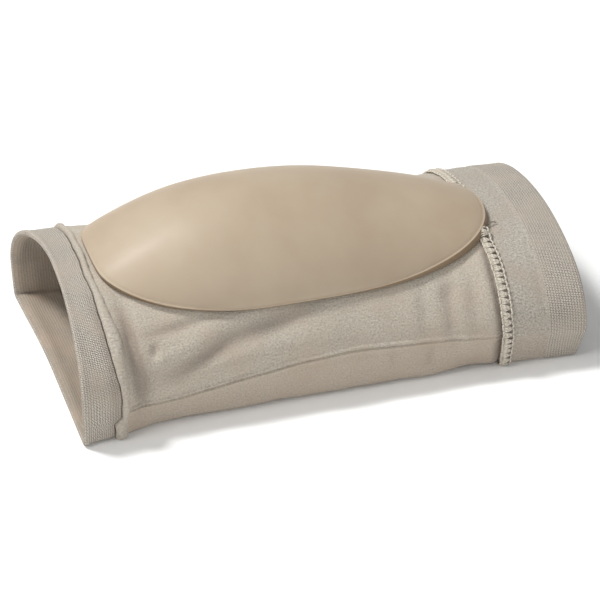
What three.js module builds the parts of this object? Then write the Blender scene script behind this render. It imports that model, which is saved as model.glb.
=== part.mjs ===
import * as THREE from "three";

// Arch support sleeve: a knitted tube for the middle of the foot, with a band sewn on at each end and
// a domed gel pad lying over its top. The sleeve lies on a floor, pressed flat where it rests.
// X runs along the sleeve from the narrow band to the broad one, Y runs across it to the back, Z is up.

// Driving sizes, in millimetres.
const LENGTH = 110;
const HALF_WIDTH = 29;
const HEIGHT = 27;
const FABRIC = 1.2;
const GAP = 0.3;
const RIM_ROUND = 0.3;

// The bands at the two mouths, each from its rim to the middle of the seam that joins it to the body.
const NARROW_BAND = 9.35;
const BROAD_BAND = 16.5;

// The seams: how wide each one is and how far it stands out.
const NARROW_SEAM_WIDTH = 2.0;
const NARROW_SEAM_RISE = 0.9;
const BROAD_SEAM_WIDTH = 2.6;
const BROAD_SEAM_RISE = 0.7;

// The thicker hem at the mouth of the broad band.
const HEM_WIDTH = 8;
const HEM_RISE = 0.25;
const HEM_STEP = 0.5;

// The gel pad starts beside the narrow seam and ends over the broad one. Its plan is an egg, with its
// tip cut straight at the narrow seam. Its half widths are arcs over the sleeve from the crown.
const PAD_NEAR = 23.6;
const PAD_FAR = 19;
const PAD_LIP = 1.2;
const PAD_DOME = 8.2;
const PAD_CLEAR = 0.3;
const PAD_SEAM_GAP = 0.75;
const PAD_TIP_CUT = 1.8;
const PAD_OVER_SEAM = 2;
const PAD_RIDE = 8.5;
const PAD_WIDEST = 0.43;
const PAD_POWER_LEFT = 2.3;
const PAD_POWER_RIGHT = 2.2;
const PAD_DOME_POWER = 0.9;

// The ridge of a seam from side to side: shares of its half width and of its rise.
const SEAM_RIDGE = [[-1, 0], [-0.9, 0.6], [-0.45, 1], [0.45, 1], [0.9, 0.6], [1, 0]];

// How finely each surface is divided.
const ROUND_COUNTS = [15, 15, 5, 6, 5];
const FINE_COUNTS = [48, 48, 4, 4, 4];
const BODY_STATIONS = 20;
const BAND_STATIONS = 4;
const PAD_SPOKES = 44;
const PAD_TOP_RINGS = [0.12, 0.28, 0.46, 0.64, 0.8, 0.92, 1];
const PAD_UNDER_RINGS = [1, 0.66, 0.33];
const STRETCH_STEPS = 24;

// Cross-sections along the sleeve. Columns: at is the share of the length; front and back reach out
// from the middle in half widths; the crease heights, the crown's height and the bend, the radius at
// the floor, are in heights; crownAcross and the tucks, how far the sides turn in at the floor, are in
// half widths; the powers make each top quarter fuller.
const SECTION_COLUMNS = [
  "at", "front", "back", "frontCrease", "backCrease", "crown", "crownAcross",
  "frontTuck", "backTuck", "frontPower", "backPower", "bend",
];
const SECTIONS = [
  [0.00, 1.01, 1.00, 0.36, 0.36, 1.00, 0.05, 0.00, 0.03, 2.3, 2.0, 0.060],
  [0.09, 1.00, 0.96, 0.33, 0.36, 1.00, 0.05, 0.03, 0.05, 2.2, 2.0, 0.075],
  [0.16, 0.96, 0.92, 0.30, 0.36, 1.01, 0.05, 0.03, 0.05, 2.1, 2.0, 0.095],
  [0.30, 0.95, 0.92, 0.30, 0.36, 1.04, 0.05, 0.03, 0.05, 2.0, 2.0, 0.095],
  [0.50, 0.96, 0.92, 0.31, 0.36, 1.01, 0.05, 0.03, 0.05, 2.0, 2.0, 0.095],
  [0.72, 0.98, 0.92, 0.31, 0.36, 0.92, 0.00, 0.03, 0.05, 2.0, 2.0, 0.095],
  [0.86, 1.01, 0.96, 0.31, 0.34, 0.91, -0.10, 0.04, 0.05, 2.1, 2.0, 0.080],
  [1.00, 1.05, 0.98, 0.29, 0.30, 0.90, -0.20, 0.04, 0.05, 2.2, 2.0, 0.065],
];
const BEND_OVER_FABRIC = 1.25;

// How each round of the knit leans along the sleeve, in shares of the length, at its front crease,
// crown, back crease and floor.
const LEAN_COLUMNS = ["at", "front", "crown", "back", "floor"];
const LEANS = [
  [0.000, 0.000, 0.014, -0.015, 0.000],
  [0.085, 0.002, -0.014, -0.010, -0.005],
  [0.500, 0.000, 0.000, 0.000, 0.000],
  [0.850, 0.000, 0.006, 0.000, 0.000],
  [1.000, 0.010, 0.004, -0.005, -0.005],
];

// Soft hollows pressed into the body. Columns: at is a share of the length; arc, from the crown
// towards the back, and the half sizes long and wide are in half widths; turn is degrees from the
// sleeve's own direction; deep is in heights.
const FOLD_COLUMNS = ["at", "arc", "turn", "long", "wide", "deep"];
const FOLDS = [
  [0.150, -0.83, 84, 0.55, 0.12, 0.037],
  [0.260, -1.10, 14, 0.55, 0.12, 0.026],
  [0.745, -1.00, 82, 0.35, 0.11, 0.013],
  [0.600, 0.93, 8, 0.62, 0.17, 0.022],
];
const FOLD_FADE = 3;

const named = (columns, rows) =>
  rows.map((row) => Object.fromEntries(columns.map((column, i) => [column, row[i]])));
const sections = named(SECTION_COLUMNS, SECTIONS);
const leans = named(LEAN_COLUMNS, LEANS);
const folds = named(FOLD_COLUMNS, FOLDS);

const lerp = (a, b, t) => a + (b - a) * t;
const share = (length) => length / LENGTH;
const smooth = (from, to, value) => {
  const t = Math.min(1, Math.max(0, (value - from) / (to - from)));
  return t * t * (3 - 2 * t);
};

// Smooth curve through the rows of a table, for every column at once.
function blend(rows, columns, at) {
  const last = rows.length - 1;
  let i = 0;
  while (i < last - 1 && at > rows[i + 1].at) {
    i += 1;
  }
  const slope = (k, column) => {
    const before = rows[Math.max(0, k - 1)];
    const after = rows[Math.min(last, k + 1)];
    return (after[column] - before[column]) / (after.at - before.at);
  };
  const step = rows[i + 1].at - rows[i].at;
  const t = Math.min(1, Math.max(0, (at - rows[i].at) / step));
  const result = {};
  for (const column of columns) {
    const a = rows[i][column];
    const b = rows[i + 1][column];
    result[column] = (2 * t ** 3 - 3 * t ** 2 + 1) * a + (3 * t ** 2 - 2 * t ** 3) * b
      + (t ** 3 - 2 * t ** 2 + t) * step * slope(i, column)
      + (t ** 3 - t ** 2) * step * slope(i + 1, column);
  }
  return result;
}

// Points spaced evenly along a polyline of [y, z] pairs, without its end point.
function spread(points, count) {
  const walked = [0];
  for (let i = 1; i < points.length; i += 1) {
    const [dy, dz] = [points[i][0] - points[i - 1][0], points[i][1] - points[i - 1][1]];
    walked.push(walked[i - 1] + Math.hypot(dy, dz));
  }
  const result = [];
  let i = 1;
  for (let k = 0; k < count; k += 1) {
    const goal = walked[walked.length - 1] * k / count;
    while (i < points.length - 1 && walked[i] < goal) {
      i += 1;
    }
    const t = (goal - walked[i - 1]) / (walked[i] - walked[i - 1]);
    result.push([lerp(points[i - 1][0], points[i][0], t), lerp(points[i - 1][1], points[i][1], t)]);
  }
  return result;
}

// The five stretches of one cross-section: up the front, down the back, in under the back, over the
// floor and out again to the front crease.
function stretches(section) {
  const front = -section.front * HALF_WIDTH;
  const back = section.back * HALF_WIDTH;
  const frontCrease = section.frontCrease * HEIGHT;
  const backCrease = section.backCrease * HEIGHT;
  const middle = section.crownAcross * HALF_WIDTH;
  const crown = section.crown * HEIGHT;
  const frontFoot = front + section.frontTuck * HALF_WIDTH;
  const backFoot = back - section.backTuck * HALF_WIDTH;
  const bend = Math.max(section.bend * HEIGHT, BEND_OVER_FABRIC * FABRIC);
  const lines = [[], [], [[back, backCrease]], [], []];
  for (let k = 0; k <= STRETCH_STEPS; k += 1) {
    const turn = (Math.PI / 2) * (k / STRETCH_STEPS);
    const rise = Math.PI / 2 - turn;
    lines[0].push([
      middle - (middle - front) * Math.cos(turn) ** (2 / section.frontPower),
      frontCrease + (crown - frontCrease) * Math.sin(turn) ** (2 / section.frontPower),
    ]);
    lines[1].push([
      middle + (back - middle) * Math.cos(rise) ** (2 / section.backPower),
      backCrease + (crown - backCrease) * Math.sin(rise) ** (2 / section.backPower),
    ]);
    lines[2].push([backFoot - bend + bend * Math.cos(turn), bend - bend * Math.sin(turn)]);
    lines[4].push([frontFoot + bend - bend * Math.cos(rise), bend - bend * Math.sin(rise)]);
  }
  lines[3].push([backFoot - bend, 0], [frontFoot + bend, 0]);
  lines[4].push([front, frontCrease]);
  return lines;
}

// How much a point between two of the four marks round a section belongs to each mark.
function leanAt(index, counts, lean) {
  const total = counts.reduce((sum, count) => sum + count, 0);
  const marks = [0, counts[0], counts[0] + counts[1], total - counts[4] - counts[3] / 2, total];
  const values = [lean.front, lean.crown, lean.back, lean.floor, lean.front];
  let i = 0;
  while (i < 3 && index > marks[i + 1]) {
    i += 1;
  }
  const t = (index - marks[i]) / (marks[i + 1] - marks[i]);
  return lerp(values[i], values[i + 1], 0.5 - 0.5 * Math.cos(Math.PI * t));
}

// One round of the knit at a share of the length: points with their outward directions and their
// arc from the crown, more than zero towards the back, as far as the middle of the floor.
function round(at, counts) {
  const section = blend(sections, SECTION_COLUMNS, at);
  const lean = blend(leans, LEAN_COLUMNS, at);
  const flat = stretches(section).flatMap((line, i) => spread(line, counts[i]));
  const count = flat.length;
  const points = flat.map(([y, z], i) => {
    const [y0, z0] = flat[(i + count - 1) % count];
    const [y1, z1] = flat[(i + 1) % count];
    const size = Math.hypot(y1 - y0, z1 - z0);
    return {
      x: (at - 0.5 + leanAt(i, counts, lean)) * LENGTH,
      y,
      z,
      outY: -(z1 - z0) / size,
      outZ: (y1 - y0) / size,
      arc: 0,
    };
  });
  const crown = counts[0];
  const backSteps = counts[1] + counts[2] + Math.floor(counts[3] / 2);
  const measure = (steps, way) => {
    for (let k = 1; k <= steps; k += 1) {
      const from = points[(crown + way * (k - 1) + count) % count];
      const to = points[(crown + way * k + count) % count];
      to.arc = from.arc + way * Math.hypot(to.y - from.y, to.z - from.z);
    }
  };
  measure(backSteps, 1);
  measure(count - backSteps - 1, -1);
  return points;
}

// The places of the seams and of the pieces' ends along the sleeve.
const narrowSeam = share(NARROW_BAND);
const broadSeam = 1 - share(BROAD_BAND);
const narrowEnd = narrowSeam - share(NARROW_SEAM_WIDTH / 2 + GAP);
const bodyFrom = narrowSeam + share(NARROW_SEAM_WIDTH / 2 + GAP);
const bodyTo = broadSeam - share(BROAD_SEAM_WIDTH / 2 + GAP);
const broadStart = broadSeam + share(BROAD_SEAM_WIDTH / 2 + GAP);

// How far the folds press the fabric in at one place. They fade out before the seams.
function foldDepth(at, arc) {
  const fade = Math.min(
    smooth(bodyFrom, bodyFrom + share(FOLD_FADE), at),
    smooth(bodyTo, bodyTo - share(FOLD_FADE), at),
  );
  let depth = 0;
  for (const fold of folds) {
    const turn = THREE.MathUtils.degToRad(fold.turn);
    const along = (at - fold.at) * LENGTH;
    const across = arc - fold.arc * HALF_WIDTH;
    const own = along * Math.cos(turn) + across * Math.sin(turn);
    const side = across * Math.cos(turn) - along * Math.sin(turn);
    const far = (own / fold.long) ** 2 + (side / fold.wide) ** 2;
    depth += fold.deep * HEIGHT * Math.exp(-far / HALF_WIDTH ** 2);
  }
  return depth * fade;
}

// A round of the knit moved out or in by the given height. Nothing goes below the floor.
function skin(at, height) {
  return round(at, ROUND_COUNTS).map((point) => {
    const out = height - foldDepth(at, point.arc);
    return new THREE.Vector3(
      point.x,
      point.y + point.outY * out,
      Math.max(0, point.z + point.outZ * out),
    );
  });
}

// A place on top of the sleeve, lifted off it by the given height.
function above(at, arc, height) {
  const points = round(at, FINE_COUNTS);
  let i = 1;
  while (i < FINE_COUNTS[0] + FINE_COUNTS[1] && points[i].arc < arc) {
    i += 1;
  }
  const [a, b] = [points[i - 1], points[i]];
  const t = (arc - a.arc) / (b.arc - a.arc);
  return new THREE.Vector3(
    lerp(a.x, b.x, t),
    lerp(a.y, b.y, t) + lerp(a.outY, b.outY, t) * height,
    lerp(a.z, b.z, t) + lerp(a.outZ, b.outZ, t) * height,
  );
}

function solid(name, points, faces, material) {
  const geometry = new THREE.BufferGeometry().setFromPoints(points);
  geometry.setIndex(faces);
  geometry.computeVertexNormals();
  const mesh = new THREE.Mesh(geometry, material);
  mesh.name = name;
  return mesh;
}

// A closed ring of fabric: the profile's [at, height] corners, in order round the wall, are each
// carried right round the sleeve.
function wrapped(name, profile, material) {
  const rounds = profile.map(([at, height]) => skin(at, height));
  const count = rounds[0].length;
  const faces = [];
  rounds.forEach((_, i) => {
    const next = ((i + 1) % rounds.length) * count;
    for (let j = 0; j < count; j += 1) {
      const k = (j + 1) % count;
      const [a, b, c, d] = [i * count + j, next + j, next + k, i * count + k];
      faces.push(a, b, c, a, c, d);
    }
  });
  return solid(name, rounds.flat(), faces, material);
}

function evenly(from, to, steps) {
  return Array.from({ length: steps + 1 }, (_, i) => lerp(from, to, i / steps));
}

// The profile of a fabric wall from its outer face's corners, in order along the sleeve: the inner
// face runs back again under them, and a corner at a rim is rounded on both faces.
function wall(outer) {
  const inner = outer.map(({ at, atRim }) => [at, atRim ? RIM_ROUND - FABRIC : -FABRIC]).reverse();
  return [...outer.map(({ at, height }) => [at, height]), ...inner];
}

// Corners of an outer face at one height, evenly spaced between two places.
function faceBetween(from, to, steps, height) {
  return evenly(from, to, steps).map((at) => ({ at, height, atRim: false }));
}

// A seam's profile: a rounded ridge over the whole thickness of the fabric.
function seamProfile(at, width, rise) {
  const half = share(width / 2);
  const ridge = SEAM_RIDGE.map(([side, lift]) => [at + side * half, lift * rise]);
  return [...ridge, [at + half, -FABRIC], [at - half, -FABRIC]];
}

// The pad's ends and its widest place along the sleeve.
const padFrom = narrowSeam + share(NARROW_SEAM_WIDTH / 2 + PAD_SEAM_GAP);
const padTo = broadSeam + share(PAD_OVER_SEAM);
const padMiddle = lerp(padFrom, padTo, PAD_WIDEST);

// One point of the pad's plan at a spoke, drawn in towards the middle by a share of the radius.
function padPlace(radius, turn) {
  const [along, across] = [Math.cos(turn), Math.sin(turn)];
  const power = 2 / (along < 0 ? PAD_POWER_LEFT : PAD_POWER_RIGHT);
  const reach = along < 0 ? padMiddle - padFrom + share(PAD_TIP_CUT) : padTo - padMiddle;
  const width = across < 0 ? PAD_NEAR : PAD_FAR;
  const at = padMiddle + reach * radius * Math.sign(along) * Math.abs(along) ** power;
  return {
    at: Math.max(at, lerp(padMiddle, padFrom, radius)),
    arc: width * radius * Math.sign(across) * Math.abs(across) ** power,
  };
}

// The pad's underside follows the sleeve and rides up over the broad seam.
function padUnder(at) {
  const seamEdge = broadSeam - share(BROAD_SEAM_WIDTH / 2);
  return PAD_CLEAR + BROAD_SEAM_RISE * smooth(seamEdge - share(PAD_RIDE), seamEdge, at);
}

function gelPad(material) {
  const points = [];
  const ring = (radius, height) => {
    for (let i = 0; i < PAD_SPOKES; i += 1) {
      const { at, arc } = padPlace(radius, (2 * Math.PI * i) / PAD_SPOKES);
      points.push(above(at, arc, padUnder(at) + height));
    }
  };
  points.push(above(padMiddle, 0, padUnder(padMiddle) + PAD_LIP + PAD_DOME));
  for (const radius of PAD_TOP_RINGS) {
    ring(radius, PAD_LIP + PAD_DOME * (1 - radius ** 2) ** PAD_DOME_POWER);
  }
  for (const radius of PAD_UNDER_RINGS) {
    ring(radius, 0);
  }
  points.push(above(padMiddle, 0, padUnder(padMiddle)));
  const rings = PAD_TOP_RINGS.length + PAD_UNDER_RINGS.length;
  const end = points.length - 1;
  const lastRing = end - PAD_SPOKES;
  const faces = [];
  for (let j = 0; j < PAD_SPOKES; j += 1) {
    const k = (j + 1) % PAD_SPOKES;
    faces.push(0, 1 + j, 1 + k);
    faces.push(end, lastRing + k, lastRing + j);
    for (let i = 0; i < rings - 1; i += 1) {
      const [a, b] = [1 + i * PAD_SPOKES, 1 + (i + 1) * PAD_SPOKES];
      faces.push(a + j, b + j, b + k, a + j, b + k, a + k);
    }
  }
  return solid("gel_pad", points, faces, material);
}

const knit = new THREE.MeshStandardMaterial({ color: 0xb9b0a4, roughness: 0.95 });
const bandKnit = new THREE.MeshStandardMaterial({ color: 0xb2a99c, roughness: 0.95 });
const thread = new THREE.MeshStandardMaterial({ color: 0xc4bbae, roughness: 0.9 });
const gel = new THREE.MeshStandardMaterial({ color: 0xb9a98f, roughness: 0.45 });

const rim = share(RIM_ROUND);
const hem = 1 - share(HEM_WIDTH);
const narrowBand = [
  { at: 0, height: -RIM_ROUND, atRim: true },
  ...faceBetween(rim, narrowEnd, BAND_STATIONS, 0),
];
const broadBand = [
  ...faceBetween(broadStart, hem - share(HEM_STEP), BAND_STATIONS, 0),
  ...faceBetween(hem, 1 - rim, BAND_STATIONS, HEM_RISE),
  { at: 1, height: HEM_RISE - RIM_ROUND, atRim: true },
];
const body = faceBetween(bodyFrom, bodyTo, BODY_STATIONS, 0);

const group = new THREE.Group();
group.name = "arch_support_sleeve";
group.add(
  wrapped("narrow_cuff", wall(narrowBand), bandKnit),
  wrapped("narrow_seam", seamProfile(narrowSeam, NARROW_SEAM_WIDTH, NARROW_SEAM_RISE), thread),
  wrapped("sleeve_body", wall(body), knit),
  wrapped("broad_seam", seamProfile(broadSeam, BROAD_SEAM_WIDTH, BROAD_SEAM_RISE), thread),
  wrapped("broad_cuff", wall(broadBand), bandKnit),
  gelPad(gel),
);

// The origin is the middle of the sleeve's footprint, on the floor.
const box = new THREE.Box3().setFromObject(group);
const middle = box.getCenter(new THREE.Vector3());
for (const mesh of group.children) {
  mesh.geometry.translate(-middle.x, -middle.y, -box.min.z);
}

export default group;
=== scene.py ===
"""Arch support sleeve: the finished look of a knitted foot sleeve with a domed gel pad.

The sleeve lies on a pale floor, flattened where it rests. X runs along it from the narrow mouth to
the broad one, Y runs across it to the back and Z is up. Every length is in metres.

A place on the fabric is given as a share of the tube's length with a turn round it, or with an arc
from the crown. SleeveForm turns such places into points, FabricRelief says how far the fabric
stands over them, and each piece of the sleeve is a class that carries its own profile over
the form.
"""

from __future__ import annotations

import logging
import math
from dataclasses import dataclass
from enum import Enum

import bpy
import numpy as np
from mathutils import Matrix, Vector


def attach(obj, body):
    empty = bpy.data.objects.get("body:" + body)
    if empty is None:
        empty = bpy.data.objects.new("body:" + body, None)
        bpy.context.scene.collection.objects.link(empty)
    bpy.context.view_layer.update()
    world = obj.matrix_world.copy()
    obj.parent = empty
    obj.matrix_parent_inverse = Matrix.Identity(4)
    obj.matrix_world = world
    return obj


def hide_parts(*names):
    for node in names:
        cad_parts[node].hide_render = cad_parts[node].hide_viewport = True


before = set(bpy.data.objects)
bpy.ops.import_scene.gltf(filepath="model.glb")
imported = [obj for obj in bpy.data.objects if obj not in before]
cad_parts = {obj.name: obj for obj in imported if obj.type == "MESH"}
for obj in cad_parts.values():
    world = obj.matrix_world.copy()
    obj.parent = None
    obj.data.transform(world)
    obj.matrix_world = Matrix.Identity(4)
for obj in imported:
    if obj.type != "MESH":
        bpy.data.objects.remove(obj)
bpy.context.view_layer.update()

LOG = logging.getLogger("arch_support_sleeve")
MM = 0.001
SEED = 20
TUBE_BODY = "root"
# Steps of a closely sampled line that is then divided evenly.
FINE_STEPS = 4001
# Turns between which the front crease wanders, where a round has more points.
CREASE_STRIP = (-0.59, -0.44)
# Radians that Blender's wave texture goes through over one unit of its coordinate.
WAVE_RADIANS = 20
# Shift of the inner face's cloth coordinates, so that its stitches don't mirror the outer ones.
INNER_SHIFT = 0.37 * MM


class Face(Enum):
    """The two faces of a fabric wall, by their material slot."""

    OUTER = 0
    INNER = 1


class Slot(Enum):
    """The record's material slots."""

    KNIT = "knit"
    BAND = "band_knit"
    THREAD = "thread"
    GEL = "gel"


# The cross-sections along the tube, as in the solids. Columns: share of the length; front and back
# in half widths; front crease, back crease and crown in heights; crown's offset, front tuck and
# back tuck in half widths; front and back powers; bend at the floor in heights.
SECTIONS = (
    (0.00, 1.01, 1.00, 0.36, 0.36, 1.00, 0.05, 0.00, 0.03, 2.3, 2.0, 0.060),
    (0.09, 1.00, 0.96, 0.33, 0.36, 1.00, 0.05, 0.03, 0.05, 2.2, 2.0, 0.075),
    (0.16, 0.96, 0.92, 0.30, 0.36, 1.01, 0.05, 0.03, 0.05, 2.1, 2.0, 0.095),
    (0.30, 0.95, 0.92, 0.30, 0.36, 1.04, 0.05, 0.03, 0.05, 2.0, 2.0, 0.095),
    (0.50, 0.96, 0.92, 0.31, 0.36, 1.01, 0.05, 0.03, 0.05, 2.0, 2.0, 0.095),
    (0.72, 0.98, 0.92, 0.31, 0.36, 0.92, 0.00, 0.03, 0.05, 2.0, 2.0, 0.095),
    (0.86, 1.01, 0.96, 0.31, 0.34, 0.91, -0.10, 0.04, 0.05, 2.1, 2.0, 0.080),
    (1.00, 1.05, 0.98, 0.29, 0.30, 0.90, -0.20, 0.04, 0.05, 2.2, 2.0, 0.065),
)
# How each round leans along the tube, in shares of the length. Columns: share of the length, front
# crease, crown, back crease, floor.
LEANS = (
    (0.000, 0.000, 0.014, -0.015, 0.000),
    (0.085, 0.002, -0.014, -0.010, -0.005),
    (0.500, 0.000, 0.000, 0.000, 0.000),
    (0.850, 0.000, 0.006, 0.000, 0.000),
    (1.000, 0.010, 0.004, -0.005, -0.005),
)


def blend_rows(rows: tuple, at: np.ndarray) -> np.ndarray:
    """Draw a smooth curve through the rows of a table.

    Args:
        rows: Table rows, with the share of the length first.
        at: Shares of the length to read, one dimension.

    Returns:
        One row of the other columns for each share.
    """
    table = np.array(rows, float)
    xs, ys = table[:, 0], table[:, 1:]
    slope = np.empty_like(ys)
    slope[1:-1] = (ys[2:] - ys[:-2]) / (xs[2:] - xs[:-2])[:, None]
    slope[0] = (ys[1] - ys[0]) / (xs[1] - xs[0])
    slope[-1] = (ys[-1] - ys[-2]) / (xs[-1] - xs[-2])
    i = np.clip(np.searchsorted(xs, at, side="right") - 1, 0, len(xs) - 2)
    step = (xs[i + 1] - xs[i])[:, None]
    t = np.clip((at - xs[i])[:, None] / step, 0, 1)
    return (
        (2 * t**3 - 3 * t**2 + 1) * ys[i]
        + (3 * t**2 - 2 * t**3) * ys[i + 1]
        + (t**3 - 2 * t**2 + t) * step * slope[i]
        + (t**3 - t**2) * step * slope[i + 1]
    )


def smooth(low: float, high: float, value: np.ndarray) -> np.ndarray:
    """Rise smoothly from 0 at low to 1 at high, or the other way round when low is the larger."""
    t = np.clip((value - low) / (high - low), 0, 1)
    return t * t * (3 - 2 * t)


def fine_turns(columns: int, extra: int) -> np.ndarray:
    """Space the points of a round, closer together where the front crease runs.

    Args:
        columns: Evenly spaced points.
        extra: Points added over the strip that holds the crease.

    Returns:
        Turns from -1 up to but not including 1.
    """
    low, high = CREASE_STRIP
    fine = np.linspace(-1, 1, FINE_STEPS)
    weight = columns / 2 + extra / (high - low) * ((fine > low) & (fine < high))
    walked = np.concatenate([[0], np.cumsum((weight[1:] + weight[:-1]) / 2)])
    return np.interp(np.linspace(0, walked[-1], columns + extra, endpoint=False), walked, fine)


def hump(offset: np.ndarray, width: float) -> np.ndarray:
    """Give a bell curve of height 1 at offset 0 that has fallen to a third at the given width."""
    return np.exp(-((offset / width) ** 2))


@dataclass
class SleeveForm:
    """The shape of the whole tube at rest, as a surface of (share of the length, turn round it).

    A turn runs from -1 at the middle of the floor, over the front crease, to 0 at the crown, and
    down the back to 1 at the middle of the floor again.

    Attributes:
        length: Length from rim to rim.
        half_width: Half of the usual width as it lies.
        height: Usual height of the crown.
        fabric: Thickness of the knit.
        narrow_band: Length of the narrow band.
        broad_band: Length of the broad band.
        corner_arc: Where the broad rim's low front corner lies, as an arc from the crown.
        corner_reach: How far round the tube that corner reaches.
        corner_start: Share of the length from which the corner draws back.
        corner_slack: How far it draws back.
        seam_clear: Half of the gap between the body and the broad band.
        stations: Sections that are tabulated along the tube.
        turns: Points that are tabulated round each section.
        bend_over_fabric: Least radius of the bends at the floor, in thicknesses of the knit.
        stretch_steps: Points on each quarter of a section.
    """

    length: float = 110 * MM
    half_width: float = 29 * MM
    height: float = 27 * MM
    fabric: float = 1.2 * MM
    narrow_band: float = 9.35 * MM
    broad_band: float = 16.5 * MM
    corner_arc: float = -42 * MM
    corner_reach: float = 5 * MM
    corner_start: float = 0.965
    corner_slack: float = 1.3 * MM
    seam_clear: float = 0.05 * MM
    stations: int = 441
    turns: int = 577
    bend_over_fabric: float = 1.25
    stretch_steps: int = 48

    def __post_init__(self) -> None:
        """Tabulate the surface once, and centre it over the footprint as the solids are."""
        self.at = np.linspace(0, 1, self.stations)
        self.turn = np.linspace(-1, 1, self.turns)
        sections = blend_rows(SECTIONS, self.at)
        leans = blend_rows(LEANS, self.at)
        places = np.empty((self.stations, self.turns, 3))
        outs = np.empty_like(places)
        self.front_arc = np.empty(self.stations)
        self.back_arc = np.empty(self.stations)
        for i, (section, lean) in enumerate(zip(sections, leans)):
            places[i], outs[i] = self._round(i, section, lean)
        low, high = places.min((0, 1)), places.max((0, 1))
        self.shift = np.array([-(low[0] + high[0]) / 2, -(low[1] + high[1]) / 2, -low[2]])
        self.places = places + self.shift
        self.outs = outs

    def _round(self, i: int, section: np.ndarray,
               lean: np.ndarray) -> tuple[np.ndarray, np.ndarray]:
        """Work out one cross-section.

        Args:
            i: Number of the station.
            section: The section's columns after the first.
            lean: The lean's columns after the first.

        Returns:
            The points round the section, and their outward directions.
        """
        front, back, front_crease, back_crease, crown, crown_off = section[:6]
        front_tuck, back_tuck, front_power, back_power, bend = section[6:]
        front, back, middle = (v * self.half_width for v in (-front, back, crown_off))
        front_crease, back_crease, crown = (
            v * self.height for v in (front_crease, back_crease, crown))
        front_foot = front + front_tuck * self.half_width
        back_foot = back - back_tuck * self.half_width
        bend = max(bend * self.height, self.bend_over_fabric * self.fabric)
        angle = np.linspace(0, math.pi / 2, self.stretch_steps)
        floor_middle = [[(front_foot + back_foot) / 2, 0]]
        rise = bend - bend * np.cos(angle)
        front_bend = np.stack([front_foot + bend - bend * np.sin(angle), rise], 1)
        back_bend = np.stack([back_foot - bend + bend * np.sin(angle), rise], 1)
        front_rise = np.stack([
            middle - (middle - front) * np.cos(angle) ** (2 / front_power),
            front_crease + (crown - front_crease) * np.sin(angle) ** (2 / front_power),
        ], 1)
        back_fall = np.stack([
            middle + (back - middle) * np.cos(angle) ** (2 / back_power),
            back_crease + (crown - back_crease) * np.sin(angle) ** (2 / back_power),
        ], 1)[::-1]
        line = np.vstack([
            floor_middle, front_bend, front_rise, back_fall[1:], back_bend[::-1], floor_middle])
        walked = np.concatenate([[0], np.cumsum(np.linalg.norm(np.diff(line, axis=0), axis=1))])
        steps = self.stretch_steps
        crease, top, back_mark = walked[1 + steps], walked[2 * steps], walked[3 * steps - 1]
        self.front_arc[i], self.back_arc[i] = top, walked[-1] - top
        arc = top + np.where(self.turn < 0, self.turn * top, self.turn * (walked[-1] - top))
        y, z = np.interp(arc, walked, line[:, 0]), np.interp(arc, walked, line[:, 1])
        marks = np.array([0, crease, top, back_mark, walked[-1]])
        values = lean[[3, 0, 1, 2, 3]]
        k = np.clip(np.searchsorted(marks, arc, side="right") - 1, 0, 3)
        t = (arc - marks[k]) / (marks[k + 1] - marks[k])
        leaned = values[k] + (values[k + 1] - values[k]) * (0.5 - 0.5 * np.cos(np.pi * t))
        x = (self.at[i] - 0.5 + leaned) * self.length
        ring_y, ring_z = np.r_[y[-3:-1], y, y[1:3]], np.r_[z[-3:-1], z, z[1:3]]
        dy, dz = ring_y[4:] - ring_y[:-4], ring_z[4:] - ring_z[:-4]
        size = np.hypot(dy, dz)
        return np.stack([x, y, z], 1), np.stack([np.zeros_like(y), -dz / size, dy / size], 1)

    def share(self, length: float) -> float:
        """Give a length as a share of the tube's."""
        return length / self.length

    @property
    def narrow_seam(self) -> float:
        """Place of the narrow seam, as a share of the length."""
        return self.share(self.narrow_band)

    @property
    def broad_seam(self) -> float:
        """Place of the broad seam, as a share of the length."""
        return 1 - self.share(self.broad_band)

    def _read(self, table: np.ndarray, at: np.ndarray, turn: np.ndarray) -> np.ndarray:
        """Read a table between its rows and columns.

        Args:
            table: One row for each station and one column for each turn.
            at: Shares of the length.
            turn: Turns round the tube.

        Returns:
            The table's values at those places.
        """
        row = np.clip(at, 0, 1) * (self.stations - 1)
        column = ((turn + 1) % 2) / 2 * (self.turns - 1)
        i = np.clip(row.astype(int), 0, self.stations - 2)
        j = np.clip(column.astype(int), 0, self.turns - 2)
        u, v = (row - i)[..., None], (column - j)[..., None]
        return (
            table[i, j] * (1 - u) * (1 - v) + table[i + 1, j] * u * (1 - v)
            + table[i, j + 1] * (1 - u) * v + table[i + 1, j + 1] * u * v
        )

    def place(self, at: np.ndarray, turn: np.ndarray, lift: np.ndarray) -> np.ndarray:
        """Give points on the tube, lifted off it. None goes below the floor.

        Args:
            at: Shares of the length.
            turn: Turns round the tube.
            lift: Heights over the outer face, negative inside it.

        Returns:
            Points, with the shape of the arguments and three numbers for each.
        """
        at, turn, lift = np.broadcast_arrays(at, turn, lift)
        outs = self._read(self.outs, at, turn)
        points = self._read(self.places, at, turn) + outs * lift[..., None]
        low_corner = hump(self.arc(at, turn) - self.corner_arc, self.corner_reach) * (turn < 0)
        points[..., 0] -= self.corner_slack * smooth(self.corner_start, 1.0, at) * low_corner
        points[..., 2] = np.maximum(points[..., 2], 0)
        return points

    def out(self, at: np.ndarray, turn: np.ndarray) -> np.ndarray:
        """Give the outward directions at places on the tube.

        Args:
            at: Shares of the length.
            turn: Turns round the tube.

        Returns:
            Directions of length 1.
        """
        at, turn = np.broadcast_arrays(at, turn)
        outs = self._read(self.outs, at, turn)
        return outs / np.linalg.norm(outs, axis=-1, keepdims=True)

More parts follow.
